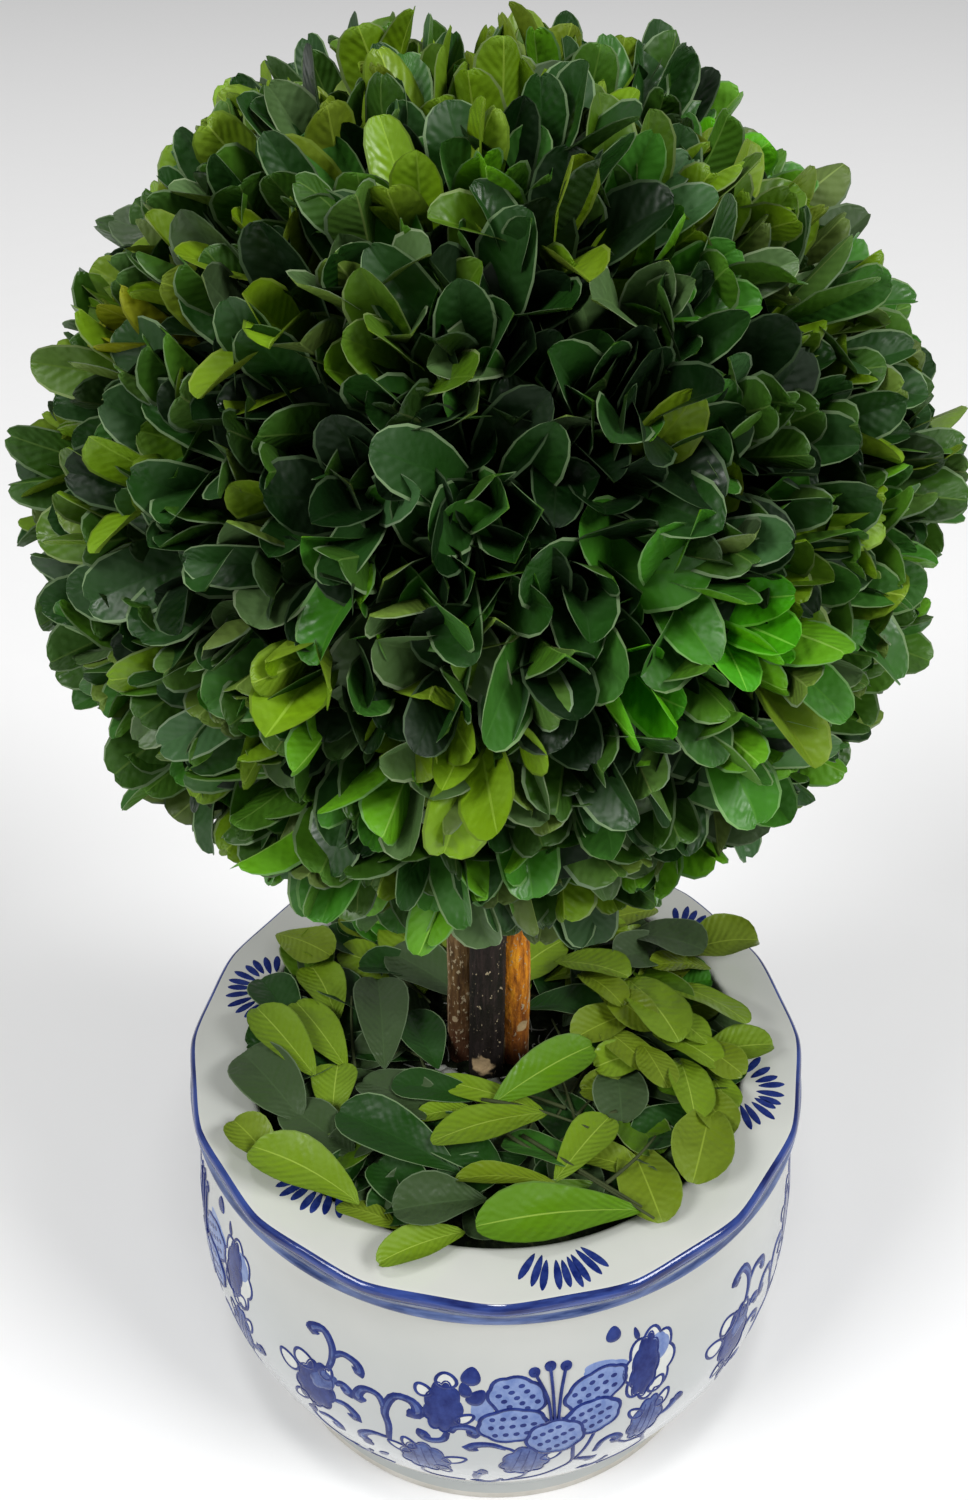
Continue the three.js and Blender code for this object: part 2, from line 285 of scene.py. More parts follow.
def link_shader(material, socket, output):
    material.node_tree.links.new(output, material.node_tree.nodes["Principled BSDF"].inputs[socket])


def object_place(material, stretch=(1, 1, 1)):
    """The place on the object in metres, stretched along its axes."""
    where = node(material, "ShaderNodeTexCoord").outputs["Object"]
    return node(material, "ShaderNodeMapping", {"Vector": where, "Scale": stretch}).outputs[0]


def part_of(material, vector, axis):
    """One of the X, Y and Z of a vector."""
    return node(material, "ShaderNodeSeparateXYZ", {"Vector": vector}).outputs[axis]


def noise(material, where, scale, detail=3.0, roughness=0.55):
    inputs = {"Vector": where, "Scale": scale, "Detail": detail, "Roughness": roughness}
    return node(material, "ShaderNodeTexNoise", inputs).outputs["Fac"]


def ramp(material, value, stops):
    """A colour ramp over (position, colour) stops."""
    made = node(material, "ShaderNodeValToRGB", {"Fac": value})
    elements = made.color_ramp.elements
    while len(elements) < len(stops):
        elements.new(0.5)
    for element, (position, colour) in zip(elements, stops):
        element.position = position
        element.color = (*colour, 1)
    return made.outputs["Color"]


def rescale(material, value, low, high, start=0.3, end=0.7):
    """Carries a value from start..end, the range of most noise, to low..high."""
    inputs = {"Value": value, "From Min": start, "From Max": end, "To Min": low, "To Max": high}
    return node(material, "ShaderNodeMapRange", inputs).outputs["Result"]


def arithmetic(material, operation, *values):
    """One step of a sum on node values or plain numbers."""
    return node(material, "ShaderNodeMath", dict(enumerate(values)), operation=operation).outputs[0]


def mixed(material, blend, amount, first, second):
    """Two colours blended; the node keeps its colours on the sockets numbered 6 and 7."""
    inputs = {0: amount, 6: first, 7: second}
    return node(material, "ShaderNodeMix", inputs, data_type="RGBA", blend_type=blend).outputs[2]


def bump(material, height, distance, strength=1.0):
    """Raises the surface by height times distance, in metres."""
    made = node(material, "ShaderNodeBump", {"Height": height, "Distance": distance, "Strength": strength})
    link_shader(material, "Normal", made.outputs["Normal"])


def colours(thousandths):
    """Linear colours from their red, green and blue in thousandths, one after the other."""
    return np.reshape(thousandths, (-1, 3)) / 1000


def plain_relief(name, colour, roughness, scale, distance):
    """Margins, ribs and twigs: a plain colour with a fine grain."""
    material = new_material(name, colour, roughness, gloss=0.22)
    bump(material, noise(material, object_place(material), scale), distance)
    return material


def mottled(name, colour, roughness, stops, tone, relief, distance, stretch=(1, 1, 1), gloss=0.5, coat=0.0):
    """A colour that follows one noise through a ramp, with relief from another noise. tone and relief hold
    the scale, detail and roughness of each; without relief the first noise serves for both."""
    material = new_material(name, colour, roughness, gloss, coat)
    where = object_place(material, stretch)
    cloud = noise(material, where, *tone)
    link_shader(material, "Base Color", ramp(material, cloud, stops))
    bump(material, noise(material, where, *relief) if relief else cloud, distance)
    return material


# Side veins on each half of a blade, and how far they slant towards the tip.
VEINS = 11
VEIN_SLANT = 0.45


def blade_material(name, colour, roughness, gloss, vein_height):
    """Leaf blade: slanting side veins, a fine grain, shallow dents, and a satin gloss that is duller on
    the dents' rises."""
    material = new_material(name, colour, roughness, gloss)
    uv = node(material, "ShaderNodeTexCoord").outputs["UV"]
    parts = node(material, "ShaderNodeSeparateXYZ", {"Vector": uv}).outputs
    from_midrib = arithmetic(material, "ABSOLUTE", arithmetic(material, "SUBTRACT", parts["X"], 0.5))
    slant = arithmetic(material, "MULTIPLY", from_midrib, VEIN_SLANT)
    slanted = arithmetic(material, "SUBTRACT", parts["Y"], slant)
    wave = arithmetic(material, "SINE", arithmetic(material, "MULTIPLY", slanted, TURN * VEINS))
    where = object_place(material)
    grain = noise(material, where, 520.0, 1.0, 0.6)
    dents = noise(material, where, 165.0, 0.0)
    height = arithmetic(material, "ADD", arithmetic(material, "MULTIPLY", wave, vein_height), grain)
    height = arithmetic(material, "ADD", height, arithmetic(material, "MULTIPLY", dents, 2.6))
    bump(material, height, 0.00028)
    link_shader(material, "Roughness", rescale(material, dents, roughness - 0.13, roughness + 0.16))
    return material


# Each tint: upper blade, margin, upper midrib, under blade and under rib, as colours in thousandths.
TINTS = {
    # shade is a darkened copy of the deep tints: painted shade for leaves that lie deep among the others.
    "shade": (3, 15, 2, 48, 82, 36, 5, 18, 3, 10, 29, 3, 30, 50, 10),
    "deep": (12, 52, 6, 150, 228, 108, 16, 60, 9, 29, 86, 7, 70, 140, 22),
    "pine": (32, 122, 13, 160, 258, 102, 40, 140, 18, 56, 158, 10, 110, 230, 30),
    "blue": (40, 110, 32, 172, 246, 140, 47, 123, 38, 66, 145, 22, 140, 210, 50),
    "sage": (44, 78, 28, 105, 152, 78, 55, 96, 36, 90, 140, 28, 170, 240, 60),
    # dusty is a paler, greyer tint that stands partly for a whitish bloom on the leaves and partly for
    # painted sheen.
    "dusty": (76, 142, 44, 215, 288, 152, 88, 160, 50, 125, 205, 28, 200, 290, 60),
    "moss": (62, 138, 5, 165, 236, 72, 80, 160, 10, 120, 225, 5, 220, 340, 30),
    "fern": (38, 170, 9, 135, 278, 80, 52, 195, 13, 95, 280, 7, 190, 380, 50),
    "olive": (120, 205, 4, 160, 235, 25, 150, 235, 12, 138, 206, 10, 230, 320, 30),
    "lime": (155, 285, 6, 120, 200, 14, 230, 380, 30, 150, 250, 12, 280, 400, 50),
    "fresh": (62, 155, 4, 74, 158, 12, 190, 330, 40, 90, 210, 6, 240, 380, 50),
    "bright": (45, 270, 3, 105, 350, 28, 150, 430, 38, 95, 390, 4, 200, 500, 40),
    "golden": (230, 265, 6, 200, 225, 16, 340, 380, 40, 280, 310, 8, 400, 430, 60),
}


def tint_materials(tint):
    """The five finishes of a leaf in one tint, in the order of its faces' slots."""
    upper, margin, midrib, under, under_rib = colours(TINTS[tint])
    return [
        blade_material(f"{tint}_upper_blade", upper, 0.43, 0.32, 0.07),
        plain_relief(f"{tint}_margin", margin, 0.5, 700.0, 0.00005),
        plain_relief(f"{tint}_midrib", midrib, 0.5, 700.0, 0.00005),
        blade_material(f"{tint}_under_blade", under, 0.46, 0.28, 0.10),
        plain_relief(f"{tint}_under_rib", under_rib, 0.6, 700.0, 0.00005),
    ]


# Leaves

def leaf_template(rows, columns):
    """A thin closed blade on a grid, with its upper and under faces joined along the outline.

    rows run from 0 at the leaf's root to 1 at its tip, columns from -1 to 1 across it. A face at a corner
    is split towards the inside, so the blade stays thick there. Gives along, across and face (1 upper, -1
    under) for each point, and the corner lists with their slots: 0 upper blade, 1 margin, 2 midrib, 3
    under blade, 4 under rib."""
    m, n = len(rows), len(columns)
    along, across = (grid.ravel() for grid in np.meshgrid(rows, columns, indexing="ij"))
    upper = np.arange(m * n).reshape(m, n)
    inner = upper[1:-1, 1:-1].ravel()
    under = upper.copy()
    under[1:-1, 1:-1] = m * n + np.arange(len(inner)).reshape(m - 2, n - 2)
    top = np.stack([upper[:-1, :-1], upper[:-1, 1:], upper[1:, 1:], upper[1:, :-1]], -1)
    low = np.stack([under[:-1, :-1], under[1:, :-1], under[1:, 1:], under[:-1, 1:]], -1)
    for fours in (top, low):
        for corner in ((0, -1), (-1, 0)):
            fours[corner] = np.roll(fours[corner], -1)
    strips = np.array([[0], [3]]).repeat(n - 1, axis=1)
    strips[:, [0, -1]] = 1
    strips[:, (n - 1) // 2] = 2, 4
    return {
        "along": np.concatenate([along, along[inner]]),
        "across": np.concatenate([across, across[inner]]),
        "face": np.repeat([1, -1], [m * n, len(inner)]),
        "fours": np.concatenate([top.reshape(-1, 4), low.reshape(-1, 4)]),
        "slots": np.tile(strips, (1, m - 1)).ravel(),
    }


BALL_LEAF = leaf_template([0, 0.19, 0.44, 0.67, 0.83, 0.93, 0.982, 1], [-1, -0.905, -0.04, 0.04, 0.905, 1])
BED_LEAF = leaf_template(
    [0, 0.07, 0.16, 0.27, 0.39, 0.51, 0.63, 0.74, 0.84, 0.92, 0.975, 1],
    [-1, -0.955, -0.66, -0.34, -0.027, 0.027, 0.34, 0.66, 0.955, 1],
)
# The traits of a leaf that shape its blade.
LEAF_FORM = ("width", "length", "fold", "arch", "twist", "sway")
LEAF_DETAIL = ("bulge", "fullness", "notch", "thickness", "phase")
# As shares of a blade's half width: the groove along the midrib on top and the rib below, and the wave and
# the roll of its margins.
GROOVE, RIB, MARGIN_WAVE, MARGIN_ROLL = 0.028, 0.075, 0.07, 0.05


def blade_width(along, bulge, fullness):
    """Half width as a share of its greatest: sin(pi * along**bulge)**fullness, so that a greater bulge
    pushes the widest place towards the tip; the root stays narrow and the tip blunt."""
    wave = np.sin(np.pi * np.clip(along, 0, 1) ** bulge) ** fullness
    return np.maximum(wave, 0.05 + 0.14 * along**4)


def shaped_leaves(template, leaves):
    """Every leaf of one kind as one surface, and its uv places, from arrays with an entry for each leaf.

    A blade is folded up along its midrib by fold, bent along a circle by arch, turned along its length by
    twist and curved in its own plane by sway; angles are in radians. Its margins wave and roll down a
    little, and a shallow groove follows the midrib on top, with a raised rib below."""
    s, t, face = (template[key] for key in ("along", "across", "face"))
    width, length, fold, arch, twist, sway = (leaves[key][:, None] for key in LEAF_FORM)
    bulge, fullness, notch, thickness, phase = (leaves[key][:, None] for key in LEAF_DETAIL)
    half = 0.5 * width * blade_width(s, bulge, fullness)
    out = np.abs(t)
    across = half * t * np.cos(fold)
    lift = half * out * np.sin(fold) * (0.55 + 0.45 * out) - MARGIN_ROLL * half * out**6
    near_rib = np.exp(-((t / 0.1) ** 2)) * np.sin(np.pi * s)
    groove = np.where(face > 0, GROOVE, RIB) * half * near_rib
    thin = np.where(face > 0, 0, thickness * (1 - out**3))
    wave = MARGIN_WAVE * half * out * np.sin(9 * s + phase + 2 * np.sign(t))
    inside = (out < 0.999) & (s > 0.001) & (s < 0.999)
    lift = lift + wave - np.where(inside, groove + thin, 0)
    turn = twist * s
    across, lift = across * np.cos(turn) + lift * np.sin(turn), lift * np.cos(turn) - across * np.sin(turn)
    bend = np.where(np.abs(arch) < 1e-3, 1e-3, arch)
    nick = notch * np.exp(-((t / 0.45) ** 2)) * s**12
    ahead = length * np.sin(bend * s) / bend + lift * np.sin(bend * s) - nick
    rise = -length * (1 - np.cos(bend * s)) / bend + lift * np.cos(bend * s)
    across = across + sway * length * s**2
    forward = unit(leaves["along"])
    side = unit(np.cross(forward, leaves["upper"]))
    normal = np.cross(side, forward)
    across, ahead, rise = (amount[..., None] for amount in (across, ahead, rise))
    points = leaves["root"][:, None] + (
        across * side[:, None] + ahead * forward[:, None] + rise * normal[:, None]
    )
    count, each = points.shape[:2]
    fours = (template["fours"] + (np.arange(count) * each)[:, None, None]).reshape(-1, 4)
    uv = np.stack([0.5 + 0.5 * np.tile(t, count), np.tile(s, count)], -1)
    slots = np.tile(template["slots"], count)
    return (points.reshape(-1, 3), fours, np.zeros((0, 3), int), slots, np.zeros(0, int)), uv


def drawn(random, traits, count=None):
    """The traits that are plain draws, one after the other in the order of their table."""
    draws = {"uniform": random.uniform, "normal": random.normal}
    return {key: draws[kind](first, second, count) for key, (kind, first, second) in traits.items()}


def make_leaf_pieces(name, template, leaves, tints):
    """One piece for each tint, all its leaves joined."""
    pieces = []
    for tint in TINTS:
        chosen = tints == tint
        if not chosen.any():
            continue
        surface, uv = shaped_leaves(template, {key: value[chosen] for key, value in leaves.items()})
        finish = LEAF_FINISH[tint]
        pieces.append(make_piece(f"{name}_{tint}", surface, finish, uv=uv, sharp=CREASE))
    return pieces


# Ball

def sprig_directions(random):
    """Directions spread evenly over the ball in a golden-angle spiral, nudged, and none near the sticks."""
    i = np.arange(SPRIGS)
    height = 1 - (2 * i + 1) / SPRIGS
    even = cylinder_points(np.sqrt(1 - height**2), i * GOLDEN_ANGLE, height)
    nudged = unit(even + SPRIG_JITTER * random.uniform(-1, 1, even.shape))
    return nudged[nudged[:, 2] > -np.cos(np.radians(BARE_CONE))]


# Each pair of leaves on a sprig: spread from the twig in degrees, length, width, and how far below the
# clipped surface its tips end.
BALL_PAIRS = ((34, 22, 9.9, 8.4), (25, 24.5, 10.4, 3.9), (16, 24, 10.2, 0.6), (8, 19, 8.8, 1))
# What is drawn for each leaf: evenly between two values, or normally round a mean with a spread.
BALL_TRAITS = {
    "fold": ("uniform", 0.12, 0.72),
    "arch": ("normal", 0.22, 0.42),
    "twist": ("normal", 0, 0.14),
    "sway": ("normal", 0, 0.05),
    "bulge": ("uniform", 1.55, 2.0),
    "fullness": ("uniform", 0.32, 0.46),
    "notch": ("uniform", -0.3, 0.7),
    "phase": ("uniform", 0, TURN),
}


def reach_along(direction, reach):
    """Distance from the ball's centre to its clipped surface, a ball that is a little flat."""
    return reach / np.linalg.norm(direction * np.array([1, 1, 1 / BALL_FLATNESS]), axis=-1)


def root_distance(twig, along, length, reach):
    """How far out on its twig a leaf of a given length is rooted for its tip to meet the clipped surface.

    With c the cosine of the spread, the distance d solves d*d + 2*d*length*c + length*length = reach*reach;
    the reach is taken towards the tip, found again from the first answer."""
    cosine = (twig * along).sum(-1)
    limit = reach
    for _ in range(3):
        distance = np.sqrt(np.maximum(length**2 * (cosine**2 - 1) + limit**2, 1)) - length * cosine
        tip = unit(twig * distance[:, None] + along * length[:, None])
        limit = reach_along(tip, reach)
    return distance


def ball_leaves(directions, random):
    """The leaves of every sprig: opposite pairs, each pair turned a quarter from the pair below it."""
    count = len(directions)
    start = unit(np.cross(directions, unit(np.array([0.3, 0.2, 1.0]))))
    other = np.cross(directions, start)
    roll = random.uniform(0, TURN, count)
    growth = random.normal(0, SPRIG_SCATTER, count)
    hanging = -directions[:, 2]
    droop = DROOP * np.clip(hanging - DROOP_FROM, 0, 1)
    crest = CREST * np.clip(seen_from_camera(directions)[:, 1] - CREST_FROM, 0, 1)
    groups = []
    for level, (spread, length, width, drop) in enumerate(BALL_PAIRS):
        for half in (0, 1):
            angle = roll + (level / 4 + half / 2) * TURN + random.normal(0, 0.2, count)
            outward = start * np.cos(angle)[:, None] + other * np.sin(angle)[:, None]
            lean = np.radians(spread * random.uniform(0.65, 1.35, count))
            along = directions * np.cos(lean)[:, None] + outward * np.sin(lean)[:, None]
            long = length * (1 + HANGING_LONGER * hanging) * random.uniform(0.82, 1.15, count)
            wide = width * (1 + HANGING_WIDER * hanging) * random.uniform(0.82, 1.18, count)
            uneven = growth + LEAF_SCATTER * random.uniform(-1, 1, count)
            reach = BALL_REACH - drop + droop + crest + uneven
            distance = root_distance(directions, along, long, reach)
            groups.append({
                "root": BALL_CENTRE + directions * distance[:, None],
                "along": along,
                "upper": unit(directions + 0.13 * random.normal(size=(count, 3))),
                "length": long,
                "width": wide,
                **drawn(random, BALL_TRAITS, count),
                "thickness": np.full(count, 0.32),
                "sprig": np.arange(count),
                "level": np.full(count, level),
            })
    return {key: np.concatenate([group[key] for group in groups]) for key in groups[0]}


# Where the photograph shows sprigs of one colour: a direction from the ball's centre as seen by the camera
# (right, up, towards), and its tint.
COLOURED_SPRIGS = (
    ((0.44, -0.41, 0.8), "bright"), ((0.24, -0.59, 0.77), "bright"), ((0.56, 0.76, 0.33), "bright"),
    ((-0.7, 0.25, 0.66), "golden"), ((0.05, -0.62, 0.78), "lime"), ((-0.09, -0.6, 0.79), "lime"),
    ((-0.12, 0.42, 0.89), "lime"), ((-0.37, -0.46, 0.8), "lime"), ((-0.5, 0.72, 0.48), "lime"),
    ((0.19, 0.78, 0.6), "lime"), ((-0.97, 0.13, 0.2), "lime"), ((0.37, 0.33, 0.87), "fern"),
    ((0.96, 0.3, 0.1), "fern"), ((0.6, -0.68, 0.42), "fern"),
)


def seen_from_camera(directions):
    """Directions in the camera's axes: right, up and towards it."""
    pitch = np.radians(CAMERA_PITCH)
    up = np.array([0, np.cos(pitch), np.sin(pitch)])
    towards = np.array([0, -np.sin(pitch), np.cos(pitch)])
    return np.stack([directions[:, 0], directions @ up, directions @ towards], -1)


# Shares of the tints round some places on the ball, each place a direction as the camera sees it.
TINT_ORDER = np.array("deep pine blue sage dusty moss fern olive lime".split(), "U8")
TINT_PLACES = (
    ((0.0, 0.0, 1.0), (70, 11, 5, 4, 2, 3, 3, 1, 1)),
    ((-0.8, 0.35, 0.5), (38, 5, 3, 7, 3, 18, 2, 18, 6)),
    ((0.0, 0.85, 0.5), (22, 12, 4, 7, 6, 17, 7, 17, 9)),
    ((0.8, 0.45, 0.4), (26, 16, 6, 6, 5, 15, 13, 9, 6)),
    ((0.9, -0.1, 0.4), (20, 31, 18, 7, 8, 6, 11, 2, 3)),
    ((-0.6, -0.7, 0.4), (34, 14, 12, 12, 10, 6, 7, 4, 1)),
    ((0.4, -0.8, 0.45), (25, 20, 13, 8, 8, 5, 17, 3, 1)),
)
PLACE_SHARPNESS = 8.0
# Share of each pair's leaves that get the shade tint, painted shade for leaves that lie in shade, and how
# much more do so in the middle of the view.
SHADED_SHARES = (0.92, 0.45, 0.0, 0.0)
MIDDLE_SHADE, MIDDLE_FROM = 0.9, 0.6
OWN_TINT_SHARE = 0.45


def leaf_tints(directions, leaves, random):
    """A tint for each leaf. The shares of the tints near a sprig are those of the places round it, each
    weighed by exp(sharpness * cosine of the angle to it). A sprig draws one tint and most of its leaves
    keep it; leaves deep inside, and more of them in the middle of the view, get the shade tint as painted
    shade, and a few sprigs take the tints that the photograph shows."""
    seen = seen_from_camera(directions)
    places = unit(np.array([place for place, _ in TINT_PLACES]))
    nearness = np.exp(PLACE_SHARPNESS * seen @ places.T)
    shares = nearness @ np.array([share for _, share in TINT_PLACES], float)
    limits = np.cumsum(shares / shares.sum(1, keepdims=True), axis=1)
    sprig, level = leaves["sprig"], leaves["level"]
    own = random.random(len(sprig)) < OWN_TINT_SHARE
    draw = np.where(own, random.random(len(sprig)), random.random(len(directions))[sprig])
    tints = TINT_ORDER[np.minimum((draw[:, None] > limits[sprig]).sum(1), len(TINT_ORDER) - 1)]
    in_middle = MIDDLE_SHADE * np.maximum(seen[sprig, 2] - MIDDLE_FROM, 0)
    shaded = random.random(len(sprig)) < np.array(SHADED_SHARES)[level] + in_middle
    # Shaded leaves of the dark tints turn to the shade tint: painted shade.
    tints[np.isin(tints, ["deep", "pine", "blue", "sage"]) & shaded] = "shade"
    for place, tint in COLOURED_SPRIGS:
        nearest = np.argmin(np.linalg.norm(seen - unit(np.array(place)), axis=1))
        tints[(sprig == nearest) & (level > 1)] = tint
    return tints


def make_ball_twigs(directions, leaves, random):
    """A tapering twig for each sprig, from the core to its youngest leaves."""
    count = len(directions)
    reach = np.linalg.norm(leaves["root"][-count:] - BALL_CENTRE, axis=1) + 1
    place = np.linspace(0, 1, 5)
    far = TWIG_ROOT + (reach - TWIG_ROOT)[:, None] * place
    sway = bends(random, count, 0.5, np.sin(np.pi * place))
    paths = BALL_CENTRE + directions[:, None] * far[..., None] + sway
    radii = np.tile(0.85 - 0.45 * place, (count, 1))
    make_piece("ball_twigs", tubes(paths, radii, 5), [TWIG_FINISH])


BUD_SHARE = 0.35
BUD_PROFILE = (0.35, 0.9, 1.0, 0.6, 0.15)


def make_ball_buds(directions, leaves, random):
    """Small pointed buds at the tips of some twigs: a spindle of rings."""
    chosen = random.random(len(directions)) < BUD_SHARE
    outward = directions[chosen]
    start = leaves["root"][-len(directions):][chosen] + outward
    size = random.uniform(2.2, 3.6, len(outward))
    paths = rays(start, outward, size, np.linspace(0, 1, len(BUD_PROFILE)))
    radii = 0.24 * size[:, None] * np.array(BUD_PROFILE)
    make_piece("ball_buds", tubes(paths, radii, 6), [BUD_FINISH])


def make_ball_core():
    """The foam ball that the twigs stand in: a sphere with uneven relief."""
    outward = sphere_points(48, 72)
    radius = CORE_RADIUS + 1.1 * ripples(outward * CORE_RADIUS, 9.0, 31)
    rings = BALL_CENTRE + outward * radius[..., None]
    south, north = (BALL_CENTRE + np.array([0, 0, way * CORE_RADIUS]) for way in (-1, 1))
    make_piece("ball_core", lofted(rings, south, north), [FOAM_FINISH])


# Pot

def body_radius(height):
    """The body swells from its foot to its belly and draws in to its neck, along two quarter waves."""
    below = height < BELLY_HEIGHT
    end = np.where(below, FOOT_HEIGHT, NECK_HEIGHT)
    end_radius = np.where(below, FOOT_RADIUS, NECK_RADIUS)
    travel = (height - BELLY_HEIGHT) / (end - BELLY_HEIGHT)
    return end_radius + (BELLY_RADIUS - end_radius) * np.cos(0.5 * np.pi * travel)


def arc(radius, height, round_by, start, end, steps):
    """Points of [radius, height] on an arc round a centre, between two angles in degrees."""
    angle = np.radians(np.linspace(start, end, steps))
    return np.stack([radius + round_by * np.cos(angle), height + round_by * np.sin(angle)], -1)


# The pot's finishes by slot; the foot line's finish also paints the highlight between the lip's bands.
GLAZE, BAND, BAND_EDGE, FOOT_LINE_AND_LIP_HIGHLIGHT, BARE_CLAY = range(5)


def pot_sections():
    """The pot's profile from the middle of its underside up its outside, over the rim and down inside,
    as (points, material slot) sections."""
    line_top = FOOT_HEIGHT + FOOT_LINE_WIDTH
    outside = np.linspace(line_top + 0.3, LIP_BOTTOM - 0.9, 64)
    inside = np.linspace(76, 12, 20)
    edge, flat = RIM_RADIUS - LIP_ROUND, POT_HEIGHT
    return (
        ([[18, 0], [36, 0], [50, 0]], BARE_CLAY),
        (arc(FOOT_RADIUS - FOOT_ROUND, FOOT_ROUND, FOOT_ROUND, -90, 0, 6), BARE_CLAY),
        ([[FOOT_RADIUS - 0.2, 2.6], [FOOT_RADIUS - 0.5, FOOT_HEIGHT - 0.6]], GLAZE),
        ([[FOOT_RADIUS - 0.55, FOOT_HEIGHT], [FOOT_RADIUS - 0.1, FOOT_HEIGHT + 0.5]], FOOT_LINE_AND_LIP_HIGHLIGHT),
        ([[body_radius(line_top) + 0.02, line_top]], FOOT_LINE_AND_LIP_HIGHLIGHT),
        (np.stack([body_radius(outside), outside], -1), GLAZE),
        ([[NECK_RADIUS + 0.15, LIP_BOTTOM - 0.3], [NECK_RADIUS + 0.6, LIP_BOTTOM]], GLAZE),
        (arc(edge + 0.25, LIP_BOTTOM + BEAD_ROUND, BEAD_ROUND, -80, 40, 8), BAND),
        ([[edge + 0.98, LIP_BOTTOM + 2.1]], BAND),
        # The pale slate line in the ledge between the lip's blue bands is a painted highlight, in the foot
        # line's finish.
        ([[edge + 0.92, LIP_BOTTOM + 2.3], [edge + 1.10, LIP_BOTTOM + 2.6]], FOOT_LINE_AND_LIP_HIGHLIGHT),
        (arc(edge - 0.1, flat - RIM_ROUND, RIM_ROUND, -40, 66, 12), BAND_EDGE),
        (arc(edge - 0.1, flat - RIM_ROUND, RIM_ROUND, 74, 90, 3), GLAZE),
        (np.stack([np.linspace(edge - 1, MOUTH_RADIUS + 2.3, 9), np.full(9, flat)], -1), GLAZE),
        (arc(MOUTH_RADIUS + LIP_ROUND, flat - LIP_ROUND, LIP_ROUND, 90, 180, 7), GLAZE),
        ([[MOUTH_RADIUS, flat - FLANGE_THICKNESS]], GLAZE),
        (np.stack([body_radius(inside) - POT_WALL, inside], -1), BARE_CLAY),
        ([[FLOOR_RADIUS, FLOOR_THICKNESS], [FLOOR_RADIUS / 2, FLOOR_THICKNESS]], BARE_CLAY),
    )


def scalloped(points):
    """Draws the lip in between sixteen points: by the depth times |sin(8 a)| to the 1.5, where a is the
    angle from the front, fading to nothing at the lip's bottom and 6 mm in from the rim."""
    radius = np.hypot(points[..., 0], points[..., 1])
    from_front = np.arctan2(points[..., 0], -points[..., 1])
    dip = np.abs(np.sin(SCALLOPS / 2 * from_front)) ** 1.5
    rise = np.clip((points[..., 2] - LIP_BOTTOM - 1) / (LIP_HEIGHT - 2), 0, 1)
    inward = np.clip((radius - (RIM_RADIUS - 7.5)) / 6, 0, 1)
    shrink = 1 - SCALLOP_DEPTH * dip * rise * inward
    return points * np.stack([shrink, shrink, np.ones_like(shrink)], -1)


def make_pot():
    """The pot: its profile turned about Z, with the lip scalloped."""
    sections = pot_sections()
    profile = np.concatenate([points for points, _ in sections])
    slots = np.concatenate([np.full(len(points), slot) for points, slot in sections])
    rings = turned(profile, full_turn(SCALLOPS * 20) - 0.5 * np.pi)
    surface = lofted(scalloped(rings), np.zeros(3), np.array([0, 0, FLOOR_THICKNESS]), slots[:-1])
    finishes = [GLAZE_FINISH, BAND_FINISH, BAND_EDGE_FINISH, FOOT_LINE_AND_LIP_HIGHLIGHT_FINISH, CLAY_FINISH]
    make_piece("glazed_pot", surface, finishes, replaces=["pot"], sharp=50)


# Painted ornament. Each brush mark is a thin closed film that stands a tenth of a millimetre off the glaze:
# its edges and the middle of its underside are sunk below the glaze.
SUNK_EDGE, SUNK_MIDDLE = -0.04, -0.12
DARK, MIDDLE, LIGHT, BARE = range(4)
# How far a mark stands off the glaze, in millimetres: what is painted over another mark lies higher.
WASH, BARE_MARGIN, BUD, MARGIN, FAN, LEAF = 0.03, 0.04, 0.06, 0.06, 0.07, 0.08
HEART, LINE, EDGE, HIGHLIGHT, KNOB, STAMEN = 0.105, 0.12, 0.13, 0.16, 0.22, 0.34
PETAL, NEXT_PETAL, PETAL_EDGE, SPOT = 0.07, 0.06, 0.04, 0.03


class BodyPaint:
    """Marks on the pot's body, placed by azimuth in degrees and height.

    turn moves a whole group round the pot and squeeze narrows it about its own middle azimuth."""

    def __init__(self, middle, turn, squeeze):
        self.middle, self.turn, self.squeeze = middle, turn, squeeze

    def flat(self, places):
        """Azimuth and height as millimetres along the body, measured from the group's middle."""
        places = np.asarray(places, float)
        across = (places[..., 0] - self.middle) * self.squeeze * np.radians(1) * BELLY_RADIUS
        return np.stack([across, places[..., 1]], -1)

    def lifted(self, flat, lift):
        """Millimetres along the body back to points in space, lifted along the radius."""
        azimuth = np.radians(self.middle + self.turn) + flat[..., 0] / BELLY_RADIUS
        return cylinder_points(body_radius(flat[..., 1]) + lift, azimuth, flat[..., 1])


class RimPaint:
    """Marks on the flat of the rim, in millimetres of plan."""

    def lifted(self, flat, lift):
        return np.stack(np.broadcast_arrays(flat[..., 0], flat[..., 1], POT_HEIGHT + lift), -1)


def film(paint, outline, lift, tone, rings=4):
    """A filled mark: rings from the outline in to its middle on top, closed by a fan below the glaze."""
    middle = outline.mean(0)
    shares = np.concatenate([[1.0], np.linspace(0.93, 0.2, rings)])
    lifts = np.concatenate([[SUNK_EDGE], np.full(rings, lift)])
    flat = middle + (outline - middle) * shares[:, None, None]
    under, over = (paint.lifted(middle, way) for way in (SUNK_MIDDLE, lift))
    return lofted(paint.lifted(flat, lifts[:, None]), under, over, tone)


def leaning_axes(lean):
    """Unit vectors across and along a mark that leans from upright by lean degrees."""
    cosine, sine = np.cos(np.radians(lean)), np.sin(np.radians(lean))
    return np.array([cosine, -sine]), np.array([sine, cosine])


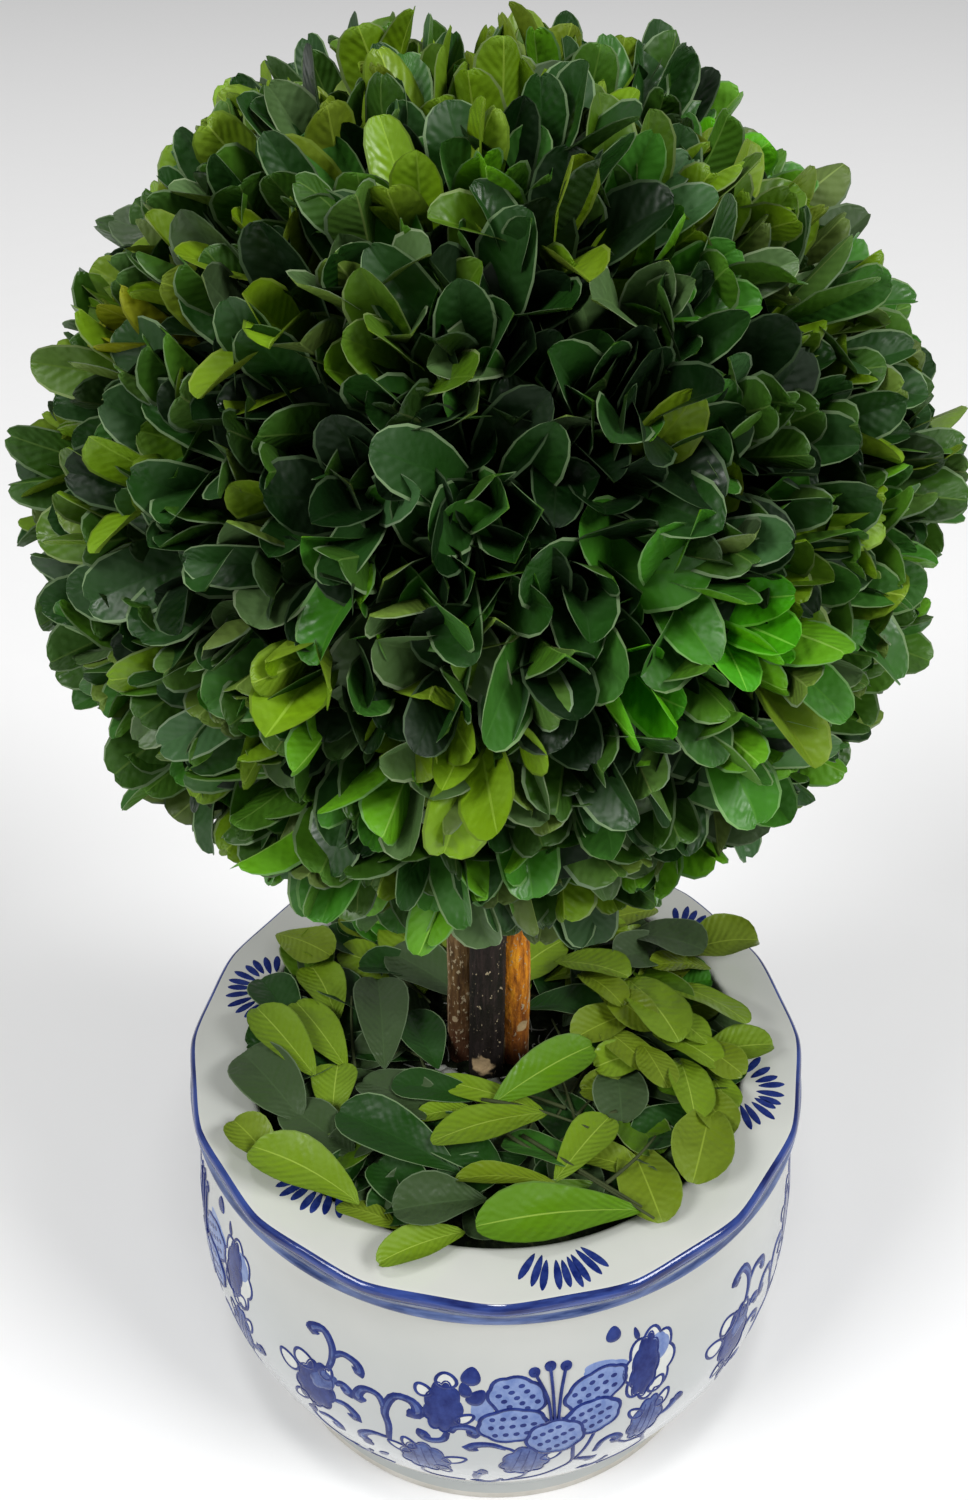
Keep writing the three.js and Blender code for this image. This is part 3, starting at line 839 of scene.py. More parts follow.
def lobed(centre, long, wide, lean, lobes=0, depth=0.0, point=0.0, corners=36, phase=0.0):
    """An oval outline leaning from upright by lean degrees; lobes scallop its edge and point sharpens its
    upper end: radius in each direction times 1 + depth*(2*abs(cos(lobes*a/2)) - 1) and width times
    1 - point*sin(a)."""
    angle = full_turn(corners)
    ripple = 1 + depth * (2 * np.abs(np.cos(0.5 * (lobes * angle + phase))) - 1)
    across = 0.5 * wide * np.cos(angle) * ripple * (1 - point * np.sin(angle))
    up = 0.5 * long * np.sin(angle) * ripple
    side, along = leaning_axes(lean)
    return centre + (across[:, None] * side + up[:, None] * along)


def ovals(paint, table, lift, tone, rings=4, **shape):
    """Filled ovals from a table of place, length, width and lean."""
    return [
        film(paint, lobed(paint.flat(place), *size, **shape), lift, tone, rings)
        for place, *size in table
    ]


def brush_width(place, width, head):
    """Half width along a stroke: it swells from a fine start to its end, with a round head."""
    swell = 0.45 + 0.55 * place**0.8
    knob = head * np.exp(-(((place - 0.9) / 0.09) ** 2))
    rounding = np.sqrt(np.clip(1 - np.clip((place - 0.88) / 0.12, 0, 1) ** 2, 0.02, 1))
    return 0.5 * width * (swell + knob) * rounding


def ribbon(paint, path, half, lift, tone=DARK, closed=False):
    """A stroke: a four-cornered section, high in the middle and sunk at its edges, carried along a path."""
    step = unit(np.roll(path, -1, 0) - np.roll(path, 1, 0) if closed else np.gradient(path, axis=0))
    left = np.stack([-step[:, 1], step[:, 0]], -1)
    shares = np.array([1.0, 0.6, -0.6, -1.0])
    lifts = np.array([SUNK_EDGE, lift, lift, SUNK_EDGE])
    flat = path[:, None] + left[:, None] * (half[:, None] * shares)[..., None]
    rings = paint.lifted(flat, lifts)
    if not closed:
        return lofted(rings, rings[0].mean(0), rings[-1].mean(0), tone)
    points, fours, *rest = lofted(np.concatenate([rings, rings[:1]]), slots=tone)
    own = len(points) - len(shares)
    return points[:own], fours % own, *rest


def stroke(paint, places, width, head=0.0, lift=LINE, tone=DARK, samples=22, even=False, inset=0):
    """A brush stroke through a few places on the body; inset drops that many samples at either end."""
    path = spline(paint.flat(places), samples + 2 * inset)[inset:samples + inset]
    place = np.linspace(0, 1, samples)
    half = np.full(samples, 0.5 * width) if even else brush_width(place, width, head)
    return ribbon(paint, path, half, lift, tone)


def edged(paint, outline, width, lift=EDGE):
    """A dark line round an outline."""
    return ribbon(paint, outline, np.full(len(outline), 0.5 * width), lift, closed=True)


def spotted_petal(paint, place, long, wide, lean, spots, phase, lift):
    """A pale petal with a rippled dark edge and rows of dark spots, lifted clear of the petal behind it."""
    centre = paint.flat(place)
    outline = lobed(centre, long, wide, lean, lobes=7, depth=0.04, phase=phase, corners=48)
    marks = [film(paint, outline, lift, LIGHT), edged(paint, outline, 1.0, lift + PETAL_EDGE)]
    side, along = leaning_axes(lean)
    for row in range(spots):
        for column in (-1, 0, 1):
            up = (row - 0.5 * (spots - 1) + 0.25 * (column % 2)) / spots * 0.86
            if np.hypot(up * 2, column * 0.62) > 0.97:
                continue
            spot = centre + along * up * long * 0.92 + side * column * wide * 0.25
            dot = lobed(spot, 1.45, 1.25, 20 * row, corners=10)
            marks.append(film(paint, dot, lift + SPOT, DARK, rings=2))
    return marks


def painted_leaf(paint, place, long, wide, lean, tone):
    """A leaf with a jagged edge; one in the middle tone has thin streaks along it."""
    centre = paint.flat(place)
    outline = lobed(centre, long, wide, lean, lobes=9, depth=0.07, point=0.12, corners=54)
    marks = [film(paint, outline, LEAF, tone), edged(paint, outline, 0.5)]
    up = leaning_axes(lean)[1]
    for side in (-0.22, 0.0, 0.22) if tone == MIDDLE else ():
        start = centre + np.array([side * wide, 0]) - up * 0.36 * long
        end = centre + np.array([side * 0.8 * wide, 0]) + up * 0.38 * long
        path = start + (end - start) * np.linspace(0, 1, 8)[:, None]
        marks.append(ribbon(paint, path, np.full(8, 0.16), EDGE))
    return marks


def open_bud(paint, place, long, wide, lean):
    """A small bare petal with a dark edge, narrower at its upper end."""
    outline = lobed(paint.flat(place), long, wide, lean, point=0.22, corners=24)
    return [film(paint, outline, BUD, BARE), edged(paint, outline, 0.9)]


# One group of the body's ornament: places as azimuth in degrees and height in millimetres, then length,
# width and lean. A petal also has its rows of spots and the phase of its ripple, a margin its lobes and
# its tone.
FLOWER_MIDDLE = 268.0
PETALS = (
    ((273.3, 60.6), 12.4, 10.4, -32, 5, 0.4), ((287, 59.4), 13.6, 9.8, 54, 5, 1.9),
    ((272.6, 51.8), 13.2, 10.6, 84, 5, 3.1), ((286.4, 50.8), 11.4, 10.8, 66, 5, 2.2),
    ((280, 46.6), 11.2, 11.6, 60, 5, 0.9),
)
STAMENS = (
    ((279.2, 52.5), (278.4, 60), (276.2, 67.6)), ((279.8, 52.5), (279.4, 61), (278.9, 68.8)),
    ((280.4, 52.5), (280.8, 61), (281.6, 68.2)),
)
DARK_LEAVES = (
    ((260.9, 56.6), 15.4, 7.2, 2), ((296, 60.8), 17.6, 6, 6), ((236.8, 48.2), 16.6, 9, 10),
)
PALE_LEAVES = (
    ((257.3, 35.5), 14, 10, -6), ((275, 37), 14, 9.4, 8), ((297, 42), 15, 7.4, 8),
)
MARGINS = (
    ((296.9, 60.6), 19.4, 10.8, 4, 8, BARE), ((298.4, 64.2), 9, 5.4, 12, 3, LIGHT),
)
HEARTS = (
    ((238.6, 51.6), 8.6, 4.8, 40),
)
BUDS = (
    ((261.4, 64.8), 4.2, 4, -6), ((257.4, 61), 3.6, 3, -30), ((264.6, 53.6), 4.2, 2.4, 50),
    ((298.4, 53.4), 4.6, 3.2, 30), ((234.4, 54.8), 5, 5.2, -24), ((230.8, 50.8), 5.4, 4.4, -48),
    ((239.4, 54.6), 4.6, 2.6, 20), ((233, 40.8), 4.6, 2.8, -140), ((252.8, 38.4), 5.2, 2.8, -58),
    ((262.6, 37.2), 5.2, 3, 62), ((260.4, 30.6), 4.6, 2.8, 150), ((254.6, 41.2), 4.6, 2.6, -20),
    ((279.6, 39), 5.2, 2.6, 44), ((294.6, 46), 4.4, 2.4, -34), ((300, 47.2), 5.2, 2.6, 22),
)
HOOKS = (
    ((251, 40.5), (251.2, 46), (250.6, 51), (252.3, 56.5), (255.4, 56.6), (256.6, 53.6), (254.6, 51.4)),
    ((250.8, 50), (249.6, 55), (247, 55.6), (245.6, 53), (246.2, 50.5)),
    ((239.6, 55.8), (240.6, 60), (240.6, 64), (239, 67.3), (236.8, 66.6), (236.6, 64.4)),
    ((240.4, 60.5), (242.6, 63.2), (245.2, 62.6), (246, 60.6), (245.2, 59.4)),
    ((241.2, 52.6), (242.6, 53.8), (243.8, 52.6), (243, 51)),
    ((240.6, 46.6), (243, 47), (244.8, 45), (244.4, 42.8)),
    ((262.2, 48.6), (263, 50.4), (265, 50.8), (266.4, 49.4), (265, 48.2)),
    ((261.6, 48.4), (260.8, 45.6), (258.6, 44.6), (257.2, 46), (258, 47.4)),
    ((250.6, 41), (247.6, 40.4), (245.6, 37.6), (246.2, 34.6)),
    ((271.6, 43.4), (269, 45), (266.2, 44.6), (265.2, 42.4)),
    ((287.6, 35.6), (288.6, 39.6), (290.6, 40.6), (291.8, 38.6), (290.6, 37.2)),
    ((299.6, 40.2), (301.8, 41), (303.6, 43.6)),
    ((236.4, 36.4), (238.6, 37.6), (240.6, 36.2), (240, 33.8)), ((283.6, 34.4), (285.6, 33), (288, 30.6)),
    ((266.2, 24), (266.4, 27.6), (267.4, 30.8)), ((291, 28), (289.6, 24.6), (287.4, 23.6), (286.4, 25.4)),
    ((246, 28), (244.6, 24.6), (242.4, 24.4), (241.8, 26.6)),
    ((271, 24), (269.4, 20.6), (266.8, 20.4), (266.2, 22.4)),
)
STEMS = (
    ((283, 44.5), (283.4, 38), (283.4, 33), (281, 29), (277.5, 25), (271, 22)),
    ((287, 45), (285.6, 39), (284, 34)), ((236, 40.5), (234.6, 35), (237, 29), (243, 24), (250, 22.5)),
    ((257, 29.5), (256, 25.5), (258, 22), (264, 21)), ((275.4, 31.5), (275, 27), (272.6, 23.4)),
    ((291.8, 37), (294, 34), (297, 32.6), (298.6, 28), (296, 24), (290, 22)),
    ((298, 36.5), (297.6, 33), (298.4, 29)), ((265, 44), (268.4, 45.2), (271.8, 43.6), (273, 42.4)),
)
DROPS = (
    ((290, 73.3), 4.4, 3.2, 0), ((265.6, 66.6), 5.6, 3.9, 6), ((266.6, 60.6), 5.4, 3.6, 30),
    ((264.6, 62.6), 4.6, 2.6, -10), ((235, 36.8), 3.2, 2.4, 30), ((267.5, 31.2), 3.4, 2.4, 0),
    ((246.4, 34.4), 3.2, 2.6, 0), ((303.7, 43.6), 3, 2.8, 0), ((294.3, 71.2), 3.8, 1.2, -12),
    ((249, 30), 3.4, 1.8, 40),
)
WASHES = (
    ((267.4, 57.6), 9, 4.6, 0), ((288.4, 64.6), 4.6, 9.5, 8), ((279.5, 42.6), 3, 9, 0),
)


def ornament_group(turn, squeeze):
    """One spray of flower, leaves, scrolls and buds."""
    paint = BodyPaint(FLOWER_MIDDLE, turn, squeeze)
    blossom = ovals(paint, WASHES, WASH, LIGHT, lobes=3, depth=0.1)
    for layer, petal in enumerate(PETALS):
        blossom.extend(spotted_petal(paint, *petal, lift=PETAL + NEXT_PETAL * layer))
    for stamen in STAMENS:
        blossom.append(stroke(paint, stamen, 0.75, even=True, lift=STAMEN))
        blossom.extend(ovals(paint, [(stamen[-1], 2.8, 2.4, 0)], KNOB, DARK, rings=3, corners=16))
    vine = [mark for leaf in DARK_LEAVES for mark in painted_leaf(paint, *leaf, DARK)]
    vine.extend(ovals(paint, HEARTS, HEART, MIDDLE, lobes=5, depth=0.1))
    for place, long, wide, lean, lobes, tone in MARGINS:
        margin = lobed(paint.flat(place), long, wide, lean, lobes, 0.09, corners=64)
        vine.append(film(paint, margin, BARE_MARGIN if tone == BARE else MARGIN, tone))
        if tone == BARE:
            vine.append(edged(paint, margin, 0.8))
    for leaf in PALE_LEAVES:
        vine.extend(painted_leaf(paint, *leaf, MIDDLE))
    for bud in BUDS:
        vine.extend(open_bud(paint, *bud))
    for hook in HOOKS:
        vine.append(stroke(paint, hook, 3.1, head=0.35))
        vine.append(stroke(paint, hook, 1.2, head=0.3, lift=HIGHLIGHT, tone=MIDDLE, inset=3))
    for stem in STEMS:
        vine.append(stroke(paint, stem, 1.0, even=True, samples=26))
    return blossom, vine + ovals(paint, DROPS, LINE, DARK, rings=3, point=0.3, corners=20)


# Turn of each group from the first, and how far it is narrowed to close the ring.
GROUP_TURNS = ((0.0, 1.0), (81.0, 1.0), (-81.0, 1.0), (148.0, 0.84), (213.0, 0.84))


def make_body_ornament():
    """All the groups round the body: one piece of blossoms, one of what grows round them."""
    groups = [ornament_group(turn, squeeze) for turn, squeeze in GROUP_TURNS]
    for name, marks in zip(("painted_blossoms", "painted_vines"), zip(*groups)):
        make_piece(name, joined(sum(marks, [])), PAINTS, sharp=CREASE)


# Each half-sun on the rim: azimuth, strokes, sweep in degrees, distance of its centre from the pot's axis,
# radius at which its strokes start and end, and half their width.
RIM_FANS = (
    (282, 9, 77, 48.6, 6.8, 13.5, 0.76), (344, 10, 125, 50.6, 5, 10.6, 0.8),
    (35, 9, 105, 51.2, 5.2, 11.2, 0.78), (104, 9, 110, 50.4, 5.2, 11, 0.72),
    (164, 11, 140, 50.4, 5.2, 11, 0.8), (227, 9, 95, 45.6, 6.4, 12.2, 0.84),
)


def make_rim_fans():
    """Six half-suns of lens-shaped strokes on the flat of the rim, opening outwards."""
    random = np.random.default_rng(8)
    paint = RimPaint()
    angle = full_turn(18)
    lens = np.sin(angle) * np.abs(np.sin(angle)) ** 0.3 * (1 + 0.2 * np.cos(angle))
    marks = []
    for azimuth, strokes, sweep, distance, start, end, half in RIM_FANS:
        azimuth = np.radians(azimuth)
        centre = distance * plan_direction(azimuth)
        for turn in np.radians(np.linspace(-sweep / 2, sweep / 2, strokes)):
            outward = plan_direction(azimuth + turn + random.normal(0, 0.03))
            side = np.array([-outward[1], outward[0]])
            near, far = start + random.normal(0, 0.25), end + random.normal(0, 0.35)
            along = 0.5 * (near + far) + 0.5 * (far - near) * np.cos(angle)
            outline = centre + along[:, None] * outward + (half * lens)[:, None] * side
            marks.append(film(paint, outline, FAN, DARK, rings=3))
    make_piece("rim_fans", joined(marks), PAINTS, sharp=CREASE)


# Filling, sticks and what lies round them

def make_filling():
    """The foam block: a turned profile with a rough top."""
    tops = np.linspace(FILLING_RADIUS - 1, 2, 40)
    side = np.linspace(30, FILLING_TOP - 0.6, 8)
    profile = np.concatenate([
        [[FILLING_BOTTOM_RADIUS, FILLING_BOTTOM], [FILLING_RADIUS, FILLING_SHOULDER]],
        np.stack([np.full(8, FILLING_RADIUS), side], -1),
        np.stack([tops, np.full(40, FILLING_TOP)], -1),
    ])
    rings = turned(profile, full_turn(144))
    on_top = (profile[:, 1] >= FILLING_TOP) * np.clip((FILLING_RADIUS - profile[:, 0]) / 3, 0, 1)
    rough = 0.55 * ripples(rings, 5.0, 12) + 0.35 * ripples(rings, 2.2, 13)
    rings[..., 2] += on_top[:, None] * rough
    surface = lofted(rings, np.array([0, 0, FILLING_BOTTOM]), np.array([0, 0, FILLING_TOP]))
    make_piece("foam_block", surface, [FOAM_FINISH], replaces=["pot_filling"])


# Each stick: plan place, thickness, seed, the height, azimuth and size of a pale scar or knot, and the
# azimuths of the pale edges of bark that run along it.
STICKS = (
    ("front", (0, -STICK_SPREAD), 1.06, 41, (89.4, 256, 2.5), ()),
    ("left", (-STICK_SPREAD, 0), 0.93, 42, (97, 240, 0.9), (197,)),
    ("right", (STICK_SPREAD, 0), 1.03, 43, (95.5, 305, 1.5), (240, 347)),
    ("back", (0, STICK_SPREAD), 0.95, 44, (110, 90, 2), ()),
)


def degrees_from(azimuth, other):
    """How far an azimuth in radians lies from another in degrees, from -180 to 180."""
    return (np.degrees(azimuth) - other + 180) % 360 - 180


# Relief of the bark: height, wavelength, and how far it is drawn out along the stick.
BARK_RELIEF = ((0.12, 34.0, (0.6, 0.6, 1.0)), (0.085, 1.9, (1, 1, 0.14)), (0.045, 1.5, (1, 1, 1)))


def make_stick(name, place, thickness, seed, scar, edges):
    """A cut rod of bark: its radius wanders along the stick, with ridges, pits, a knot and a cut scar."""
    height = np.linspace(STICK_BOTTOM, STICK_TOP, 190)[:, None]
    azimuth = full_turn(44)[None]
    skin = cylinder_points(STICK_RADIUS, azimuth, height)
    radius = STICK_RADIUS * thickness * 0.98
    for i, (relief, wavelength, stretch) in enumerate(BARK_RELIEF):
        radius = radius + relief * ripples(skin * np.array(stretch), wavelength, seed + 10 * i)
    scar_height, scar_azimuth, size = scar
    off_scar = np.radians(degrees_from(azimuth, scar_azimuth)) * STICK_RADIUS
    off = np.hypot(off_scar, (height - scar_height) * 0.9) / size + 0.25 * ripples(skin, 2.0, seed + 30)
    mark = np.clip(1.35 - off, 0, 1)
    knot = 0.35 * np.exp(-((off - 1.0) ** 2) / 0.12) - 0.25 * mark
    for edge in edges:
        near_edge = np.clip(1.15 - np.abs(degrees_from(azimuth, edge)) / 8, 0, 1)
        mark = np.maximum(mark, near_edge * (0.68 + 0.25 * ripples(skin, 7.0, seed + 40)))
    radius = radius + knot * min(size / 3, 1)
    middle = np.array([TRUNK_X + place[0], place[1], 0])
    bow = np.stack([0.35 * np.sin(height / 31 + seed), 0.35 * np.cos(height / 37 + seed), 0 * height], -1)
    rings = middle + cylinder_points(radius, azimuth, height) + bow
    surface = lofted(rings, *(rings[end].mean(0) for end in (0, -1)))
    mark = np.concatenate([mark.ravel(), [0, 0]])
    finish = [BARK_FINISH[name]]
    make_piece(f"bark_{name}", surface, finish, replaces=[f"stick_{name}"], mark=mark)


def make_glue():
    """Pale smears of glue and shreds of fibre round the foot of the sticks."""
    random = np.random.default_rng(61)
    trunk = np.array([TRUNK_X, 0, 0])
    angle, distance = random.uniform(0, TURN, 15), random.uniform(8.8, 11.5, 15)
    smears = []
    for middle in trunk + cylinder_points(distance, angle, FILLING_TOP + 0.4):
        size = random.uniform(0.9, 2.2)
        ball = sphere_points(6, 14) * size * np.array([1, 0.7, 0.5])
        ball = ball * (1 + 0.25 * ripples(ball + middle, 2.4, 70))[..., None]
        foot, crown = (middle + np.array([0, 0, way * size]) for way in (-0.5, 0.5))
        smears.append(lofted(middle + ball, foot, crown))
    make_piece("glue_smears", joined(smears), [GLUE_FINISH])
    count = 46
    angle, distance = random.uniform(0, TURN, count), random.uniform(8, 13, count)
    start = trunk + cylinder_points(distance, angle, FILLING_TOP + 0.6)
    heading = unit(random.normal(size=(count, 3)) * np.array([1, 1, 0.35]))
    place = np.linspace(0, 1, 7)
    paths = rays(start, heading, random.uniform(3, 8, count), place)
    paths = paths + bends(random, count, [1.2, 1.2, 0.5], place**2)
    paths[..., 2] = np.maximum(paths[..., 2], FILLING_TOP + 0.3)
    make_piece("glue_threads", tubes(paths, np.full((count, 7), 0.16), 5), [GLUE_FINISH])


# Leaf bed

# The leaves that the photograph shows on top: tip, root, width, tint and how high in the pile each lies.
LAID_LEAVES = (
    ((-4, -46), (27, -43.5), 13, "fresh", 6), ((-19.5, -43), (-2, -41), 13, "sage", 5),
    ((-22, -54.5), (-6, -48.5), 8.5, "lime", 4), ((-46, -27), (-26, -42), 11.5, "lime", 6),
    ((-30, -42), (-18, -48), 6, "olive", 3), ((-52, -22), (-43, -34), 9.5, "olive", 4),
    ((-53, -5), (-39, -22), 13.5, "sage", 5), ((-51, 8), (-37, -11), 10.5, "lime", 6),
    ((-43, 10), (-31, -9), 10, "lime", 4), ((-40, 21), (-34, 4), 11, "lime", 3),
    ((-25, 17), (-23, -9), 13, "sage", 5), ((-33, -8), (-33, -23), 10.5, "lime", 3),
    ((-27, -11), (-9, -23), 12, "sage", 4), ((-21, -12), (-3, -17), 9, "deep", 5),
    ((-32, -21), (-7, -35), 13, "deep", 5), ((-42, -18), (-28, -31), 11, "sage", 4),
    ((-13, -26.5), (10, -20.5), 10.5, "lime", 7), ((21, -4), (-1, -18.5), 10.5, "fresh", 6),
    ((-8, -36), (12, -38), 7, "lime", 5), ((23, -22), (11, -37), 9.5, "lime", 5),
    ((30.5, -46.5), (26, -27), 12.5, "olive", 3), ((37.5, -37.5), (43, -19), 13.5, "olive", 5),
    ((47, -20), (43, -8), 7.5, "lime", 3), ((39, -22), (38, -6), 10.5, "lime", 5),
    ((58, -3), (43, -5), 10.5, "lime", 4), ((46, -8), (33, 1), 9, "lime", 6),
    ((20, -8), (35, -5), 9.5, "lime", 5), ((25, -23), (25, -7), 12, "sage", 4),
    ((27, -28), (43, -20), 11, "deep", 3), ((16, -1), (31, 7), 10.5, "lime", 5),
    ((23, 9), (6, 8), 10.5, "deep", 4), ((38.5, -1), (28.5, 16.5), 12.5, "lime", 6),
    ((53, 4), (38, 15), 10.5, "lime", 5), ((30, 31), (16, 28), 9.5, "lime", 4),
    ((29, 17), (13, 22), 11, "lime", 5), ((26.5, 22.5), (41, 27.5), 12, "sage", 5),
    ((46.5, 26.5), (30.5, 30.5), 12.5, "sage", 6), ((58.5, 28.4), (42, 24.6), 15, "lime", 5),
    ((34, 21), (48, 20), 8.5, "lime", 4), ((22, 34), (38, 39), 11, "lime", 4),
    ((-45, 31), (-38, 11), 13.5, "moss", 2), ((-52, 17), (-42, 1), 11.5, "deep", 3),
    ((-24, 25), (-7, 12), 14, "sage", 3), ((-19, 7), (-12, -9), 12, "deep", 3),
    ((-13, -12.8), (10, -20.8), 6.5, "lime", 4), ((-16, -22), (-4, -20), 5.5, "lime", 4),
    ((-15, -24), (1, -35), 11.5, "deep", 4), ((1, -28), (18, -34), 10.5, "pine", 4),
    ((-23, -32), (-13, -44), 11.5, "deep", 3), ((-36, 24), (-50, 31), 11, "lime", 4),
    ((8, 41), (20, 52.5), 12, "olive", 4), ((17, -14), (30, -16), 9, "olive", 3),
    ((48, 10), (34, 5), 10, "olive", 3), ((33, -13), (45, -14), 9, "fresh", 2),
    ((42, 22), (30, 10), 11, "olive", 3), ((20, 14), (32, 24), 10, "moss", 3),
    ((33, -30), (22, -14), 11, "moss", 3), ((14, -30), (30, -36), 9, "olive", 3),
    ((3, -47), (20, -38), 11, "moss", 3), ((-38, -34), (-22, -26), 10, "moss", 3),
    ((44, -2), (34, 8), 8.5, "lime", 7), ((50, -11), (40, -1), 8.5, "olive", 6),
    ((31, -9), (22, 2), 8.5, "olive", 6), ((33, 2), (22, 13), 9, "olive", 7),
    ((27, 9), (18, 18), 8.5, "lime", 6), ((42, 9), (30, 20), 9, "moss", 4),
    ((46, -26), (40, -14), 9, "olive", 4), ((34, -14), (30, -2), 8.5, "lime", 7),
    ((-47, -14), (-32, -6), 10, "deep", 3), ((-12, -40), (6, -31), 9, "deep", 3),
)
# Rings of leaves under and behind those: how many, how far out their roots are, length, how far they may
# turn from straight out in degrees, and how high they lie.
BED_RINGS = (
    (15, 15, 21, 70, 0.6), (20, 25, 21, 60, 1), (21, 34, 16, 50, 0.4), (26, 39, 14, 60, 0.2),
    (22, 42, 10.5, 75, 1.2), (13, 20, 21, 65, 1.7), (15, 30, 19, 60, 2.1),
)
# Tints of the ring leaves, the first three of them in front; the share of laid lime leaves that turn olive;
# and the tints that lie with their under face up.
BED_TINTS = ("deep", "sage", "deep", "moss", "olive", "lime", "lime", "fern")
OLIVE_SHARE = 0.35
TURNED_OVER = ("lime", "olive", "golden", "fresh")
BED_TRAITS = {
    "fold": ("uniform", 0.12, 0.45),
    "twist": ("normal", 0, 0.12),
    "sway": ("normal", 0, 0.03),
    "bulge": ("uniform", 1.4, 1.85),
    "fullness": ("uniform", 0.36, 0.50),
    "notch": ("uniform", -0.2, 0.5),
    "phase": ("uniform", 0, TURN),
}
VIEW_SLANT = 0.88
# Height at the roots of the lowest layer, the step from layer to layer, and how far up the laid leaves
# start, in layers.
BED_LOW = 85.3
BED_STEP = 1.08
LAID_ABOVE = 0.8


def raised(place, height):
    """The point at a height over a plan place that was read off the photograph on the level of the rim:
    whatever lies higher was seen farther back, by the view's slant for each millimetre."""
    return np.array([place[0], place[1] - VIEW_SLANT * (height - POT_HEIGHT), height])


def bed_entry(tip, root, width, tint, layer, random):
    """One loose leaf: it climbs by a step for each layer, and its tip clears the rim if it gets there."""
    low = BED_LOW + BED_STEP * layer
    high = low + 1.4
    if np.hypot(*tip) > MOUTH_RADIUS - 6:
        high = max(high, POT_HEIGHT + 1.0 + 0.25 * layer)
    if root[1] > 14:
        high += 2.5
    root, tip = raised(root, low), raised(tip, high)
    length = np.linalg.norm(tip - root)
    across = np.cross(tip - root, [0, 0, 1])
    roll = random.normal(0, 0.09)
    face_up = -1.0 if tint in TURNED_OVER else 1.0
    arch = random.uniform(0.15, 0.65)
    traits = drawn(random, BED_TRAITS)
    return {
        "root": root,
        "along": tip - root + np.array([0, 0, length * arch / 2]),
        "upper": face_up * (np.array([0, 0, 1.0]) + roll * across / np.linalg.norm(across)),
        "length": length * (1 + arch**2 / 24),
        "width": width,
        "arch": face_up * arch,
        "thickness": 0.35,
        **traits,
        "fold": face_up * traits["fold"],
    }


def ring_entries(random):
    """Seeded leaves in rings round the sticks, kept clear of them and of the rim."""
    entries, tints = [], []
    for count, root_radius, length, turn, layer in BED_RINGS:
        for i in range(count):
            azimuth = TURN * (i + 0.6 * random.random()) / count
            root = root_radius * plan_direction(azimuth)
            heading = azimuth + np.radians(turn) * random.uniform(-1, 1)
            tip = root + length * random.uniform(0.85, 1.12) * plan_direction(heading)
            if np.hypot(*tip) > MOUTH_RADIUS - 1:
                tip = tip / np.hypot(*tip) * (MOUTH_RADIUS - random.uniform(-1.5, 2))
            in_front = root[1] + tip[1] < 30
            if layer > 1.5 and in_front:
                continue
            tint = BED_TINTS[random.integers(3 if in_front else len(BED_TINTS))]
            entries.append(bed_entry(tip, root, random.uniform(9, 13.5), tint, layer, random))
            tints.append(tint)
    return entries, tints


def make_leaf_bed():
    """The bed: rings of loose leaves, then the laid leaves on top, one piece for each tint."""
    random = np.random.default_rng(5)
    entries, tints = ring_entries(random)
    for tip, root, width, tint, layer in LAID_LEAVES:
        if tint == "lime" and random.random() < OLIVE_SHARE:
            tint = "olive"
        entries.append(bed_entry(tip, root, width, tint, layer + LAID_ABOVE, random))
        tints.append(tint)
    leaves = {key: np.array([entry[key] for entry in entries]) for key in entries[0]}
    for piece in make_leaf_pieces("bed_leaves", BED_LEAF, leaves, np.array(tints)):
        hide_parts("leaf_bed")


# Stalks that lie on top of the leaves: plan places of both ends, and their heights.
LAID_STEMS = (
    ((10, -30), (29, -45), 91.5, 93.4), ((5, -26), (27, -42.5), 92, 93), ((20, -38), (31, -26), 92, 93.6),
    ((1, -25), (18, -36), 92.4, 91.5), ((-3, -17), (18, -24), 93, 93.8), ((24, -20), (9, -31), 92, 91),
)


def laid_stem_paths(place, random):
    """Each laid stalk as points along it: its chord, and a half sine wave of a bow to one side."""
    ends = np.array([[raised(a, low), raised(b, high)] for a, b, low, high in LAID_STEMS])
    bow = bends(random, len(ends), [0.9, 0.9, 0.3], np.sin(np.pi * place))
    return ends[:, :1] + (ends[:, 1:] - ends[:, :1]) * place[None, :, None] + bow


def make_loose_stems():
    """Thin leaf stalks and twigs lying among the bed's leaves, and a few on top of them."""
    random = np.random.default_rng(23)
    count = 34
    angle, distance = random.uniform(0, TURN, count), random.uniform(14, 42, count)
    start = cylinder_points(distance, angle, BED_LOW + 3.4)
    heading = angle + random.normal(0, 0.9, count) + np.pi
    way = cylinder_points(1, heading, random.normal(0, 0.05, count))
    place = np.linspace(0, 1, 9)
    paths = rays(start, way, random.uniform(9, 20, count), place)
    paths = paths + bends(random, count, [1.6, 1.6, 0.5], place**2)
    paths = np.concatenate([paths, laid_stem_paths(place, random)])
    radii = np.tile(0.45 - 0.2 * place, (len(paths), 1))
    make_piece("loose_stems", tubes(paths, radii, 6), [TWIG_FINISH])


# Finishes of the pot, the sticks and the rest

